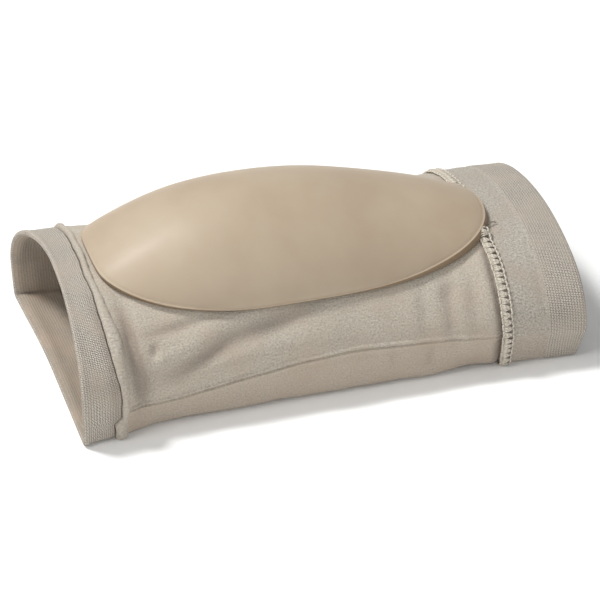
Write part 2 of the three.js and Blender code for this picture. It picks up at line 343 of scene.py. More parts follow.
    def arc(self, at: np.ndarray, turn: np.ndarray) -> np.ndarray:
        """Give the arc from the crown, less than zero on the front."""
        front, back = (np.interp(at, self.at, arcs) for arcs in (self.front_arc, self.back_arc))
        return np.where(turn < 0, turn * front, turn * back)

    def turn_of(self, at: np.ndarray, arc: np.ndarray) -> np.ndarray:
        """Give the turn of an arc from the crown."""
        front, back = (np.interp(at, self.at, arcs) for arcs in (self.front_arc, self.back_arc))
        return np.where(arc < 0, arc / front, arc / back)


@dataclass(frozen=True)
class Fold:
    """One soft hollow in the fabric, or a swell where its depth is below zero.

    Attributes:
        at: Share of the length.
        arc: Arc from the crown towards the back.
        turn: Degrees from the tube's own direction.
        long: Half length.
        wide: Half width.
        deep: Depth.
    """

    at: float
    arc: float
    turn: float
    long: float
    wide: float
    deep: float

    def depth(self, form: SleeveForm, at: np.ndarray, arc: np.ndarray) -> np.ndarray:
        """Give the depth at places on the tube.

        Args:
            form: The smooth tube.
            at: Shares of the length.
            arc: Arcs from the crown.

        Returns:
            Depths, less than zero in a swell.
        """
        angle = math.radians(self.turn)
        along, across = (at - self.at) * form.length, arc - self.arc
        own = along * math.cos(angle) + across * math.sin(angle)
        side = across * math.cos(angle) - along * math.sin(angle)
        return self.deep * np.exp(-((own / self.long) ** 2) - (side / self.wide) ** 2)


@dataclass
class FabricRelief:
    """What stands out of or sinks into the smooth tube: folds, creases, puckers and the pile.

    Attributes:
        form: The smooth tube.
        swell: Usual height of the slow unevenness.
        wave_sizes: Shortest and longest wave of that unevenness.
        waves: How many waves are added up for it.
        pucker: Height of the gathers beside a seam.
        pucker_pitch: Distance from one gather to the next.
        crease_rise: Height of the pressed crease's ribs.
        crease_line: Where the crease runs, as shares of the length with arcs from the crown.
        crease_ribs: Its ribs and the groove between them. Columns: distance below the line, width,
            share of the rise.
        tuck: How far the fabric draws in below the crease.
        tuck_run: Distances below the crease where the tuck begins, is whole, starts to ease and
            ends.
        slack_rise: Height of the soft bands of the slack inner face.
        slack_pitch: Distance from one of those bands to the next.
        fade: Distance from a seam over which the folds die out.
        shade_width: Half width of the line of painted shade beside a seam.
        shade_gaps: How far before the narrow and the broad seam that line lies.
        shades: How dark it is there, in the same order.
        shade_arcs: Arcs between which it comes in, down from the pad.
        folds: The single folds of the body.
    """

    form: SleeveForm
    swell: float = 0.16 * MM
    wave_sizes: tuple[float, float] = (7 * MM, 30 * MM)
    waves: int = 44
    pucker: float = 0.10 * MM
    pucker_pitch: float = 3.4 * MM
    crease_rise: float = 0.42 * MM
    crease_line: tuple[tuple[float, float], ...] = (
        (0.09, -41.0 * MM), (0.15, -39.6 * MM), (0.33, -37.4 * MM), (0.53, -35.0 * MM),
        (0.74, -33.9 * MM), (0.97, -33.4 * MM),
    )
    crease_ribs: tuple[tuple[float, float, float], ...] = (
        (-0.45 * MM, 0.36 * MM, 1.0), (0.48 * MM, 0.38 * MM, 0.9), (0.0, 0.26 * MM, -0.6))
    tuck: float = 0.42 * MM
    tuck_run: tuple[float, float, float, float] = (0.0, 2.2 * MM, 5.0 * MM, 8.5 * MM)
    slack_rise: float = 0.13 * MM
    slack_pitch: float = 6.5 * MM
    fade: float = 1.6 * MM
    shade_width: float = 1.1 * MM
    shade_gaps: tuple[float, float] = (2.3 * MM, 1.6 * MM)
    shades: tuple[float, float] = (0.8, 1.3)
    shade_arcs: tuple[float, float] = (-6 * MM, -20 * MM)
    folds: tuple[Fold, ...] = (
        Fold(0.116, -27.0 * MM, 88, 10.0 * MM, 1.5 * MM, 1.45 * MM),
        Fold(0.123, -35.0 * MM, 87, 5.0 * MM, 1.8 * MM, 0.95 * MM),
        Fold(0.217, -24.0 * MM, 6, 6.5 * MM, 1.3 * MM, 0.66 * MM),
        Fold(0.220, -28.6 * MM, 15, 6.0 * MM, 1.4 * MM, -0.36 * MM),
        Fold(0.242, -31.6 * MM, 19, 8.0 * MM, 1.8 * MM, 0.86 * MM),
        Fold(0.375, -27.2 * MM, 12, 11.0 * MM, 2.2 * MM, 0.84 * MM),
        Fold(0.390, -32.2 * MM, 9, 13.0 * MM, 2.6 * MM, -0.32 * MM),
        Fold(0.330, -24.0 * MM, 9, 11.0 * MM, 1.6 * MM, -0.22 * MM),
        Fold(0.158, -27.8 * MM, 60, 1.3 * MM, 0.9 * MM, 0.50 * MM),
        Fold(0.162, -30.4 * MM, 20, 1.3 * MM, 0.9 * MM, -0.40 * MM),
        Fold(0.790, -43.5 * MM, 0, 5.0 * MM, 3.0 * MM, 0.75 * MM),
        Fold(0.690, -43.5 * MM, 0, 4.0 * MM, 3.0 * MM, -0.25 * MM),
        Fold(0.745, -23.5 * MM, 70, 3.2 * MM, 1.8 * MM, 0.55 * MM),
        Fold(0.742, -29.5 * MM, 88, 5.0 * MM, 1.4 * MM, 0.40 * MM),
        Fold(0.688, -27.5 * MM, 84, 5.0 * MM, 1.5 * MM, 0.36 * MM),
        Fold(0.790, -25.0 * MM, 86, 6.0 * MM, 1.4 * MM, 0.36 * MM),
        Fold(0.715, -38.0 * MM, 90, 3.0 * MM, 0.7 * MM, -0.30 * MM),
        Fold(0.698, -38.0 * MM, 90, 3.0 * MM, 0.8 * MM, 0.34 * MM),
        Fold(0.620, -38.0 * MM, 90, 3.0 * MM, 0.9 * MM, 0.26 * MM),
        Fold(0.600, 27.0 * MM, 8, 18.0 * MM, 5.0 * MM, 0.45 * MM),
        Fold(0.300, 30.0 * MM, -14, 14.0 * MM, 3.4 * MM, 0.34 * MM),
        Fold(0.140, 24.0 * MM, 96, 12.0 * MM, 2.6 * MM, 0.38 * MM),
    )

    def __post_init__(self) -> None:
        """Draw the soft waves of the fabric once, in a fixed random order."""
        rng = np.random.default_rng(SEED)
        self.wave_length = rng.uniform(*self.wave_sizes, self.waves)
        self.wave_turns = rng.integers(1, 9, self.waves)
        self.wave_phase = rng.uniform(0, 2 * math.pi, (self.waves, 2))

    def body_lift(self, at: np.ndarray, turn: np.ndarray) -> np.ndarray:
        """Give the lift of the body's outer face from its folds and its front crease.

        Args:
            at: Shares of the length.
            turn: Turns round the tube.

        Returns:
            Lifts over the smooth tube.
        """
        arc = self.form.arc(at, turn)
        lift = -sum(fold.depth(self.form, at, arc) for fold in self.folds) * self.seam_fade(at)
        return lift + self.crease_lift(at, turn) * (0.3 + 0.7 * self.seam_fade(at))

    def below_crease(self, at: np.ndarray, turn: np.ndarray) -> np.ndarray:
        """Give how far a place lies under the pressed front crease, less than zero over it."""
        line = np.array(self.crease_line)
        return np.interp(at, line[:, 0], line[:, 1]) - self.form.arc(at, turn)

    def painted_shade(self, at: np.ndarray, turn: np.ndarray) -> np.ndarray:
        """Give the painted shade at a place, from 0 to 1: more the deeper a fold, and beside a
        seam.

        Args:
            at: Shares of the length.
            turn: Turns round the tube.

        Returns:
            Shares of the darkest painted shade.
        """
        form = self.form
        arc = form.arc(at, turn)
        folded = sum(fold.depth(form, at, arc) for fold in self.folds) * self.seam_fade(at) / MM
        seams = (form.narrow_seam, form.broad_seam)
        beside = sum(
            shade * hump((at - seam) * form.length + gap, self.shade_width)
            for shade, seam, gap in zip(self.shades, seams, self.shade_gaps))
        return np.clip(folded + beside * smooth(*self.shade_arcs, arc), 0, 1)

    def crease_lift(self, at: np.ndarray, turn: np.ndarray) -> np.ndarray:
        """Give the pressed crease: two fine ribs with a groove between them, and a tuck below.

        The ribs are highest at the narrow end and grow faint towards the broad one.

        Args:
            at: Shares of the length.
            turn: Turns round the tube.

        Returns:
            Lifts over the smooth tube.
        """
        below = self.below_crease(at, turn)
        ribs = sum(share * hump(below - place, width) for place, width, share in self.crease_ribs)
        begins, whole, eases, ends = self.tuck_run
        tucked = smooth(begins, whole, below) * smooth(ends, eases, below)
        return self.crease_rise * ribs * (1.4 - 0.9 * at) - self.tuck * tucked * (turn < 0)

    def seam_fade(self, at: np.ndarray) -> np.ndarray:
        """Fall to 0 at both seams and stay 1 over the body between them.

        Args:
            at: Shares of the length.

        Returns:
            Shares of the full relief.
        """
        form = self.form
        start, end = form.narrow_seam, form.broad_seam
        reach = form.share(self.fade)
        return smooth(start, start + reach, at) * smooth(end, end - reach, at)

    def soft_waves(self, at: np.ndarray, turn: np.ndarray) -> np.ndarray:
        """Give the slow unevenness that all of the knit has.

        Args:
            at: Shares of the length.
            turn: Turns round the tube.

        Returns:
            Lifts over the smooth tube.
        """
        total = np.zeros(np.broadcast_shapes(at.shape, turn.shape))
        for size, turns, (one, two) in zip(self.wave_length, self.wave_turns, self.wave_phase):
            along = np.sin(2 * math.pi * at * self.form.length / size + one)
            total += along * np.sin(math.pi * turns * turn + two) * size / self.wave_sizes[1]
        return self.swell * total / math.sqrt(self.waves) * 2

    def slack(self, at: np.ndarray, turn: np.ndarray) -> np.ndarray:
        """Give the slow cross waves of the inner face, where the slack knit lies in soft bands.

        Args:
            at: Shares of the length.
            turn: Turns round the tube.

        Returns:
            How far the inner face stands in.
        """
        bend = 1.1 * np.sin(math.pi * 2.3 * turn + 0.4) + 0.6 * np.sin(math.pi * 5.1 * turn + 2.0)
        bands = math.pi * at * self.form.length / self.slack_pitch
        return self.slack_rise * (np.sin(2 * bands + bend) + 0.5 * np.sin(2.3 * bands - bend))

    def puckers(self, at: np.ndarray, turn: np.ndarray, seam: float, reach: float) -> np.ndarray:
        """Give the small gathers that a seam's thread pulls into the fabric beside it.

        Args:
            at: Shares of the length.
            turn: Turns round the tube.
            seam: The seam's place, as a share of the length.
            reach: Distance from the seam at which the gathers have fallen to a third.

        Returns:
            Lifts over the smooth tube.
        """
        distance = (at - seam) * self.form.length
        arc = self.form.arc(at, turn)
        wave = np.sin(2 * math.pi * arc / self.pucker_pitch) + 0.6 * np.sin(
            2 * math.pi * arc / (self.pucker_pitch * 1.63) + 1.3)
        return self.pucker * wave * np.exp(-np.abs(distance) / reach)

    def pile(self, rows: int, columns: int, height: float, seed: int) -> np.ndarray:
        """Give the grain of the pile, as a closed ring of small random heights.

        Args:
            rows: Rounds of the mesh.
            columns: Points in each round.
            height: Usual height of the grain.
            seed: Which grain to draw.

        Returns:
            Heights, rows by columns.
        """
        noise = np.random.default_rng(SEED + seed).standard_normal((rows, columns))
        soft = noise + 0.5 * (np.roll(noise, 1, 0) + np.roll(noise, 1, 1))
        return height * soft / soft.std()


def srgb(code: str) -> tuple[float, float, float, float]:
    """Turn an sRGB hex colour into the linear one that shaders use.

    Args:
        code: Six hex digits after a hash.

    Returns:
        Linear red, green and blue, with full alpha.
    """
    parts = [int(code[i:i + 2], 16) / 255 for i in (1, 3, 5)]
    linear = [p / 12.92 if p <= 0.04045 else ((p + 0.055) / 1.055) ** 2.4 for p in parts]
    return (*linear, 1.0)


def add(tree: bpy.types.NodeTree, kind: str, settings: dict, sockets: dict) -> bpy.types.Node:
    """Add a node with its settings and its inputs.

    Args:
        tree: The node tree.
        kind: The node's type.
        settings: Values of the node's own properties.
        sockets: Input names or numbers, each with a value or with the output to link from.

    Returns:
        The new node.
    """
    node = tree.nodes.new(kind)
    for name, value in settings.items():
        setattr(node, name, value)
    for name, value in sockets.items():
        if isinstance(value, bpy.types.NodeSocket):
            tree.links.new(value, node.inputs[name])
        else:
            node.inputs[name].default_value = value
    return node


def new_material(name: str) -> tuple[bpy.types.Material, bpy.types.NodeTree]:
    """Make an empty node material.

    Args:
        name: The material's name.

    Returns:
        The material and its node tree.
    """
    material = bpy.data.materials.new(name)
    material.use_nodes = True
    material.node_tree.nodes.clear()
    return material, material.node_tree


def close_material(tree: bpy.types.NodeTree, shader: dict) -> None:
    """Add the surface shader with its inputs, and the output node.

    Args:
        tree: The material's node tree.
        shader: Inputs of the surface shader, as for add.
    """
    surface = add(tree, "ShaderNodeBsdfPrincipled", {}, shader)
    add(tree, "ShaderNodeOutputMaterial", {}, {"Surface": surface.outputs[0]})


@dataclass(frozen=True)
class BrushedPolyesterKnit:
    """Fine polyester and elastane knit, brushed to a short pile.

    The pile hides the stitches: the eye gets a soft, matt, slightly mottled grain, lighter where
    the fibres catch the light edge-on. The real tufts are about 0.1 mm wide. They are drawn four
    times as coarse to show, while the wales under them are drawn at their real size.

    Attributes:
        name: The material's name.
        ground: Colour between the tufts.
        tip: Colour of the tufts' tips.
        warm: Colour of the mottled places.
        underside_shade: Colour of the painted shade below the front crease, where it faces down.
        underside_shade_share: How far the fabric there takes that colour.
        painted_shade: Colour of the painted shade in folds and beside the seams.
        depth: How far the darkest painted shade takes that colour.
        grain: Size of the tufts.
        mottle: Size of the mottled places.
        wale: Distance between the wales of the knit.
        grain_height: Height of the tufts.
        sheen: How much light the fibres catch edge-on.
    """

    name: str
    ground: str
    tip: str
    warm: str
    underside_shade: str = "#A99686"
    underside_shade_share: float = 0.34
    painted_shade: str = "#82746A"
    depth: float = 0.58
    grain: float = 0.42 * MM
    mottle: float = 9 * MM
    wale: float = 0.62 * MM
    grain_height: float = 0.24 * MM
    sheen: float = 0.35

    def build(self) -> bpy.types.Material:
        """Build the material.

        Returns:
            The material.
        """
        material, tree = new_material(self.name)
        uv = add(tree, "ShaderNodeUVMap", {"uv_map": "Cloth"}, {}).outputs[0]
        pile = add(tree, "ShaderNodeTexNoise", {}, {
            "Vector": uv, "Scale": 1 / self.grain, "Detail": 3.0, "Roughness": 0.62}).outputs[0]
        mottle = add(tree, "ShaderNodeTexNoise", {}, {
            "Vector": uv, "Scale": 1 / self.mottle, "Detail": 4.0, "Roughness": 0.6}).outputs[0]
        wales = add(tree, "ShaderNodeTexWave", {"bands_direction": "Y"}, {
            "Vector": uv, "Scale": math.tau / (WAVE_RADIANS * self.wale), "Distortion": 1.4,
            "Detail": 1.0, "Detail Scale": 2.0}).outputs[1]
        fibres = add(tree, "ShaderNodeMapRange", {}, {
            "Value": pile, "From Min": 0.34, "From Max": 0.68}).outputs[0]
        base = add(tree, "ShaderNodeMix", {"data_type": "RGBA"}, {
            "Factor": fibres, "A": srgb(self.ground), "B": srgb(self.tip)})
        tint = add(tree, "ShaderNodeMapRange", {}, {
            "Value": mottle, "From Min": 0.42, "From Max": 0.66, "To Max": 0.5}).outputs[0]
        mottled = add(tree, "ShaderNodeMix", {"data_type": "RGBA"}, {
            "Factor": tint, "A": base.outputs["Result"], "B": srgb(self.warm)})
        # Painted shade below the front crease, where the fabric faces down.
        under = add(tree, "ShaderNodeAttribute", {"attribute_name": "Underside"}, {}).outputs["Fac"]
        underside_weight = add(tree, "ShaderNodeMath", {"operation": "MULTIPLY"}, {
            0: under, 1: self.underside_shade_share}).outputs[0]
        under_shaded = add(tree, "ShaderNodeMix", {"data_type": "RGBA"}, {
            "Factor": underside_weight, "A": mottled.outputs["Result"], "B": srgb(self.underside_shade)})
        # Painted shade in the folds and beside the seams, read from the mesh's mark.
        painted_shade = add(tree, "ShaderNodeAttribute", {"attribute_name": "PaintedShade"}, {}).outputs["Fac"]
        deep = add(tree, "ShaderNodeMath", {"operation": "MULTIPLY"}, {
            0: painted_shade, 1: self.depth}).outputs[0]
        colour = add(tree, "ShaderNodeMix", {"data_type": "RGBA"}, {
            "Factor": deep, "A": under_shaded.outputs["Result"], "B": srgb(self.painted_shade)})
        height = add(tree, "ShaderNodeMath", {"operation": "MULTIPLY_ADD"}, {
            0: wales, 1: 0.08, 2: pile}).outputs[0]
        bump = add(tree, "ShaderNodeBump", {}, {
            "Strength": 0.9, "Distance": self.grain_height, "Height": height}).outputs[0]
        close_material(tree, {
            "Base Color": colour.outputs["Result"], "Roughness": 0.95, "IOR": 1.46,
            "Sheen Weight": self.sheen, "Sheen Roughness": 0.45, "Sheen Tint": srgb("#F3EADC"),
            "Specular IOR Level": 0.25, "Normal": bump})
        return material


@dataclass(frozen=True)
class StockinetteKnit:
    """Flat circular knit of textured polyester yarn, not brushed.

    Its stitches stand in wales of small V shapes along the tube, so the eye gets a fine slanting
    grid of light yarn and dark gaps; the gaps' colour is painted shade. The real stitch is about
    0.5 mm; it is drawn a little coarser to show.

    Attributes:
        name: The material's name.
        yarn: Colour of the yarn.
        gap: Colour between the stitches, painted shade in the gaps.
        warm: Colour of the mottled places.
        wale: Width of a stitch, round the tube.
        course: Height of a stitch, along the tube.
        relief: How far the yarn stands over the gaps.
        fuzz: Size of the yarn's own unevenness.
        stray: Size of the places over which the wales wander.
        mottle: Size of the mottled places.
        painted_shade: Colour of the painted shade beside a seam and in folds.
        depth: How far the fabric there takes that colour.
        sheen: How much light the fibres catch edge-on.
    """

    name: str
    yarn: str
    gap: str
    warm: str
    wale: float = 0.70 * MM
    course: float = 0.56 * MM
    relief: float = 0.19 * MM
    fuzz: float = 0.3 * MM
    stray: float = 1.4 * MM
    mottle: float = 8 * MM
    painted_shade: str = "#7B6E63"
    depth: float = 0.4
    sheen: float = 0.2

    def build(self) -> bpy.types.Material:
        """Build the material.

        Returns:
            The material.
        """
        material, tree = new_material(self.name)
        uv = add(tree, "ShaderNodeUVMap", {"uv_map": "Cloth"}, {}).outputs[0]
        stray = add(tree, "ShaderNodeTexNoise", {}, {
            "Vector": uv, "Scale": 1 / self.stray, "Detail": 2.0}).outputs["Color"]
        offset = add(tree, "ShaderNodeVectorMath", {"operation": "MULTIPLY_ADD"}, {
            0: stray, 1: (0.3 * MM,) * 3, 2: uv}).outputs[0]
        place = add(tree, "ShaderNodeSeparateXYZ", {}, {0: offset})
        across = add(tree, "ShaderNodeMath", {"operation": "MULTIPLY"}, {
            0: place.outputs[1], 1: 1 / self.wale}).outputs[0]
        fold = add(tree, "ShaderNodeMath", {"operation": "PINGPONG"}, {
            0: across, 1: 0.5}).outputs[0]
        along = add(tree, "ShaderNodeMath", {"operation": "MULTIPLY"}, {
            0: place.outputs[0], 1: 1 / self.course}).outputs[0]
        slanted = add(tree, "ShaderNodeMath", {"operation": "MULTIPLY_ADD"}, {
            0: fold, 1: 1.3, 2: along}).outputs[0]
        phase = add(tree, "ShaderNodeMath", {"operation": "MULTIPLY"}, {
            0: slanted, 1: math.tau}).outputs[0]
        loops = add(tree, "ShaderNodeMath", {"operation": "SINE"}, {0: phase}).outputs[0]
        leg = add(tree, "ShaderNodeMath", {"operation": "PINGPONG"}, {0: fold, 1: 0.25}).outputs[0]
        # The leg's profile runs from 0 to a quarter, so four times it is a whole height.
        round_leg = add(tree, "ShaderNodeMath", {"operation": "MULTIPLY"}, {
            0: leg, 1: 4.0}).outputs[0]
        stitch = add(tree, "ShaderNodeMath", {"operation": "MULTIPLY_ADD"}, {
            0: loops, 1: 0.35, 2: 0.5}).outputs[0]
        relief = add(tree, "ShaderNodeMath", {"operation": "MULTIPLY"}, {
            0: stitch, 1: round_leg}).outputs[0]
        fuzz = add(tree, "ShaderNodeTexNoise", {}, {
            "Vector": uv, "Scale": 1 / self.fuzz, "Detail": 2.0}).outputs[0]
        height = add(tree, "ShaderNodeMath", {"operation": "MULTIPLY_ADD"}, {
            0: fuzz, 1: 0.45, 2: relief}).outputs[0]
        mottle = add(tree, "ShaderNodeTexNoise", {}, {
            "Vector": uv, "Scale": 1 / self.mottle, "Detail": 3.0}).outputs[0]
        # The low places take the gap colour: painted shade between the stitches.
        yarn = add(tree, "ShaderNodeMapRange", {}, {
            "Value": height, "From Min": 0.22, "From Max": 0.85}).outputs[0]
        base = add(tree, "ShaderNodeMix", {"data_type": "RGBA"}, {
            "Factor": yarn, "A": srgb(self.gap), "B": srgb(self.yarn)})
        tint = add(tree, "ShaderNodeMapRange", {}, {
            "Value": mottle, "From Min": 0.42, "From Max": 0.66, "To Max": 0.5}).outputs[0]
        mottled = add(tree, "ShaderNodeMix", {"data_type": "RGBA"}, {
            "Factor": tint, "A": base.outputs["Result"], "B": srgb(self.warm)})
        # Painted shade in the folds and beside the seams, read from the mesh's mark.
        painted_shade = add(tree, "ShaderNodeAttribute", {"attribute_name": "PaintedShade"}, {}).outputs["Fac"]
        deep = add(tree, "ShaderNodeMath", {"operation": "MULTIPLY"}, {
            0: painted_shade, 1: self.depth}).outputs[0]
        colour = add(tree, "ShaderNodeMix", {"data_type": "RGBA"}, {
            "Factor": deep, "A": mottled.outputs["Result"], "B": srgb(self.painted_shade)})
        bump = add(tree, "ShaderNodeBump", {}, {
            "Strength": 0.9, "Distance": self.relief, "Height": height}).outputs[0]
        close_material(tree, {
            "Base Color": colour.outputs["Result"], "Roughness": 0.92, "IOR": 1.46,
            "Sheen Weight": self.sheen, "Sheen Roughness": 0.5, "Sheen Tint": srgb("#F3EADC"),
            "Specular IOR Level": 0.3, "Normal": bump})
        return material


@dataclass(frozen=True)
class TexturedNylonThread:
    """Crimped nylon sewing yarn, lightly twisted.

    It reads as small pale, fuzzy cords with dark creases between their turns, whose colour is
    painted shade. The strands are drawn at their real size.

    Attributes:
        name: The material's name.
        light: Colour on top of the strands.
        dark: Colour between them, painted shade in the creases.
        strand: Width of one strand.
        strand_height: How far a strand stands out.
    """

    name: str = "textured_nylon_thread"
    light: str = "#CFC7B9"
    dark: str = "#A39989"
    strand: float = 0.12 * MM
    strand_height: float = 0.05 * MM

    def build(self) -> bpy.types.Material:
        """Build the material.

        Returns:
            The material.
        """
        material, tree = new_material(self.name)
        uv = add(tree, "ShaderNodeUVMap", {"uv_map": "Cloth"}, {}).outputs[0]
        twist = add(tree, "ShaderNodeTexWave", {"bands_direction": "DIAGONAL"}, {
            "Vector": uv, "Scale": 2 / (WAVE_RADIANS * self.strand), "Distortion": 2.0,
            "Detail": 2.0}).outputs[1]
        fuzz = add(tree, "ShaderNodeTexNoise", {}, {
            "Vector": uv, "Scale": 1 / self.strand, "Detail": 2.0}).outputs[0]
        mixed = add(tree, "ShaderNodeMath", {"operation": "MULTIPLY_ADD"}, {
            0: twist, 1: 0.5, 2: fuzz}).outputs[0]
        # The low places take the dark colour: painted shade in the creases between the turns.
        factor = add(tree, "ShaderNodeMapRange", {}, {
            "Value": mixed, "From Min": 0.4, "From Max": 0.9}).outputs[0]
        colour = add(tree, "ShaderNodeMix", {"data_type": "RGBA"}, {
            "Factor": factor, "A": srgb(self.dark), "B": srgb(self.light)})
        bump = add(tree, "ShaderNodeBump", {}, {
            "Strength": 0.6, "Distance": self.strand_height, "Height": mixed}).outputs[0]
        close_material(tree, {
            "Base Color": colour.outputs["Result"], "Roughness": 0.85, "IOR": 1.53,
            "Sheen Weight": 0.25, "Sheen Roughness": 0.5, "Normal": bump})
        return material


@dataclass(frozen=True)
class MouldedSiliconeGel:
    """Soft pigmented silicone, cast in a satin mould.

    It looks smooth and skin-like: a broad, soft highlight, light that goes a little way in at the
    thin lip, and a faint unevenness of the pigment. The mould's satin grain is finer than 0.1 mm
    and is drawn coarser to show.

    Attributes:
        name: The material's name.
        body: Usual colour.
        shade: Colour where the pigment is denser.
        edge: Colour of the lip's side, partly gel's deeper tone edge-on, partly painted shade.
        side_tone_and_shade: How far the side takes that colour.
        mottle: Size of the pigment's clouds.
        skin: Size of the satin grain.
        skin_height: Height of that grain.
    """

    name: str = "moulded_silicone_gel"
    body: str = "#B3A38D"
    shade: str = "#AD9B85"
    edge: str = "#7E684D"
    side_tone_and_shade: float = 0.8
    mottle: float = 14 * MM
    skin: float = 0.35 * MM
    skin_height: float = 0.05 * MM

    def build(self) -> bpy.types.Material:
        """Build the material.

        Returns:
            The material.
        """
        material, tree = new_material(self.name)
        uv = add(tree, "ShaderNodeUVMap", {"uv_map": "Cloth"}, {}).outputs[0]
        cloud = add(tree, "ShaderNodeTexNoise", {}, {
            "Vector": uv, "Scale": 1 / self.mottle, "Detail": 3.0, "Roughness": 0.5}).outputs[0]
        factor = add(tree, "ShaderNodeMapRange", {}, {
            "Value": cloud, "From Min": 0.35, "From Max": 0.65}).outputs[0]
        pigment = add(tree, "ShaderNodeMix", {"data_type": "RGBA"}, {
            "Factor": factor, "A": srgb(self.body), "B": srgb(self.shade)})
        # The lip's side is darker: partly the gel's deeper tone seen edge-on, partly painted shade.
        side = add(tree, "ShaderNodeAttribute", {"attribute_name": "Side"}, {}).outputs["Fac"]
        deep = add(tree, "ShaderNodeMath", {"operation": "MULTIPLY"}, {
            0: side, 1: self.side_tone_and_shade}).outputs[0]
        colour = add(tree, "ShaderNodeMix", {"data_type": "RGBA"}, {
            "Factor": deep, "A": pigment.outputs["Result"], "B": srgb(self.edge)})
        fine = add(tree, "ShaderNodeTexNoise", {}, {
            "Vector": uv, "Scale": 1 / self.skin, "Detail": 2.0}).outputs[0]
        rough = add(tree, "ShaderNodeMapRange", {}, {
            "Value": fine, "From Min": 0.3, "From Max": 0.7,
            "To Min": 0.48, "To Max": 0.58}).outputs[0]
        bump = add(tree, "ShaderNodeBump", {}, {
            "Strength": 0.12, "Distance": self.skin_height, "Height": fine}).outputs[0]
        close_material(tree, {
            "Base Color": colour.outputs["Result"], "Roughness": rough, "IOR": 1.41,
            "Subsurface Weight": 0.12, "Subsurface Radius": (1.2 * MM, 0.8 * MM, 0.5 * MM),
            "Subsurface Scale": 1.0, "Sheen Weight": 0.08, "Coat Weight": 0.10,
            "Coat Roughness": 0.30, "Coat IOR": 1.41, "Normal": bump})
        return material


@dataclass(frozen=True)
class MattPaperFloor:
    """White studio paper: even, matt and almost without grain."""

    name: str = "matt_studio_paper"
    white: str = "#FAFAF9"

    def build(self) -> bpy.types.Material:
        """Build the material.

        Returns:
            The material.
        """
        material, tree = new_material(self.name)
        close_material(tree, {
            "Base Color": srgb(self.white), "Roughness": 0.9, "Specular IOR Level": 0.1})
        return material


def link(made: bpy.types.Object) -> bpy.types.Object:
    """Link a new object into the scene and give it back."""
    bpy.context.scene.collection.objects.link(made)
    return made


def make_object(name: str, points: np.ndarray, faces: list[list[int]], uvs: np.ndarray,
                materials: list[bpy.types.Material],
                slots: np.ndarray | None = None) -> bpy.types.Object:
    """Make a smooth mesh object.

    Args:
        name: The object's name.
        points: Vertices, in metres.
        faces: The vertex numbers of each face.
        uvs: One place in cloth coordinates for each corner of each face.
        materials: The materials, in slot order.
        slots: The material slot of each face, or nothing for the first.

    Returns:
        The new object, linked into the scene.
    """
    mesh = bpy.data.meshes.new(name)
    mesh.from_pydata(points.reshape(-1, 3).tolist(), [], faces)
    layer = mesh.uv_layers.new(name="Cloth")
    layer.data.foreach_set("uv", uvs.reshape(-1).astype(np.float32))
    for material in materials:
        mesh.materials.append(material)
    if slots is not None:
        mesh.polygons.foreach_set("material_index", slots.astype(np.int32))
    mesh.polygons.foreach_set("use_smooth", np.ones(len(mesh.polygons), bool))
    mesh.validate()
    mesh.update()
    return link(bpy.data.objects.new(name, mesh))


def dress(piece: bpy.types.Object, nodes: tuple[str, ...] = ()) -> bpy.types.Object:
    """Fix a piece to the body, hide the solids that it stands for, and report it.

    Args:
        piece: The piece.
        nodes: The solids that it stands for, none where it is a detail.

    Returns:
        The same piece.
    """
    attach(piece, TUBE_BODY)
    if nodes:
        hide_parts(*nodes)
    LOG.info("%s: %d faces, for %s", piece.name, len(piece.data.polygons),
             ", ".join(nodes) or "detail")
    return piece


@dataclass
class WallRow:
    """One round of a fabric wall's mesh.

    Attributes:
        at: Its share of the length, one number or one for each point.
        lift: Its lifts over the smooth tube.
        face: The face that it belongs to.
    """

    at: float | np.ndarray
    lift: np.ndarray
    face: Face


def mark_points(mesh: bpy.types.Mesh, name: str, values: np.ndarray) -> None:
    """Write one number for each point of a mesh, for its material to read."""
    mark = mesh.attributes.new(name, "FLOAT", "POINT")
    mark.data.foreach_set("value", values.reshape(-1).astype(np.float32))


def ring_mesh(starts: np.ndarray, ends: np.ndarray,
              around: np.ndarray) -> tuple[list[list[int]], np.ndarray]:
    """Join rounds of points into a surface that closes both along its profile and round the tube.

    Args:
        starts: Cloth coordinate along the profile at which the faces after each round start.
        ends: The coordinate at which they end.
        around: Cloth coordinates round the tube, one more than the points in a round.

    Returns:
        Four vertex numbers for each face, and a place on the cloth for each corner.
    """
    count, columns = len(starts), len(around) - 1
    i, j = np.meshgrid(np.arange(count), np.arange(columns), indexing="ij")
    i2, j2 = (i + 1) % count, (j + 1) % columns
    faces = np.stack([i * columns + j, i2 * columns + j, i2 * columns + j2, i * columns + j2], -1)
    corners = ((starts[i], around[j]), (ends[i], around[j]),
               (ends[i], around[j + 1]), (starts[i], around[j + 1]))
    uvs = np.stack([np.stack(corner, -1) for corner in corners], 2)
    return faces.reshape(-1, 4).tolist(), uvs


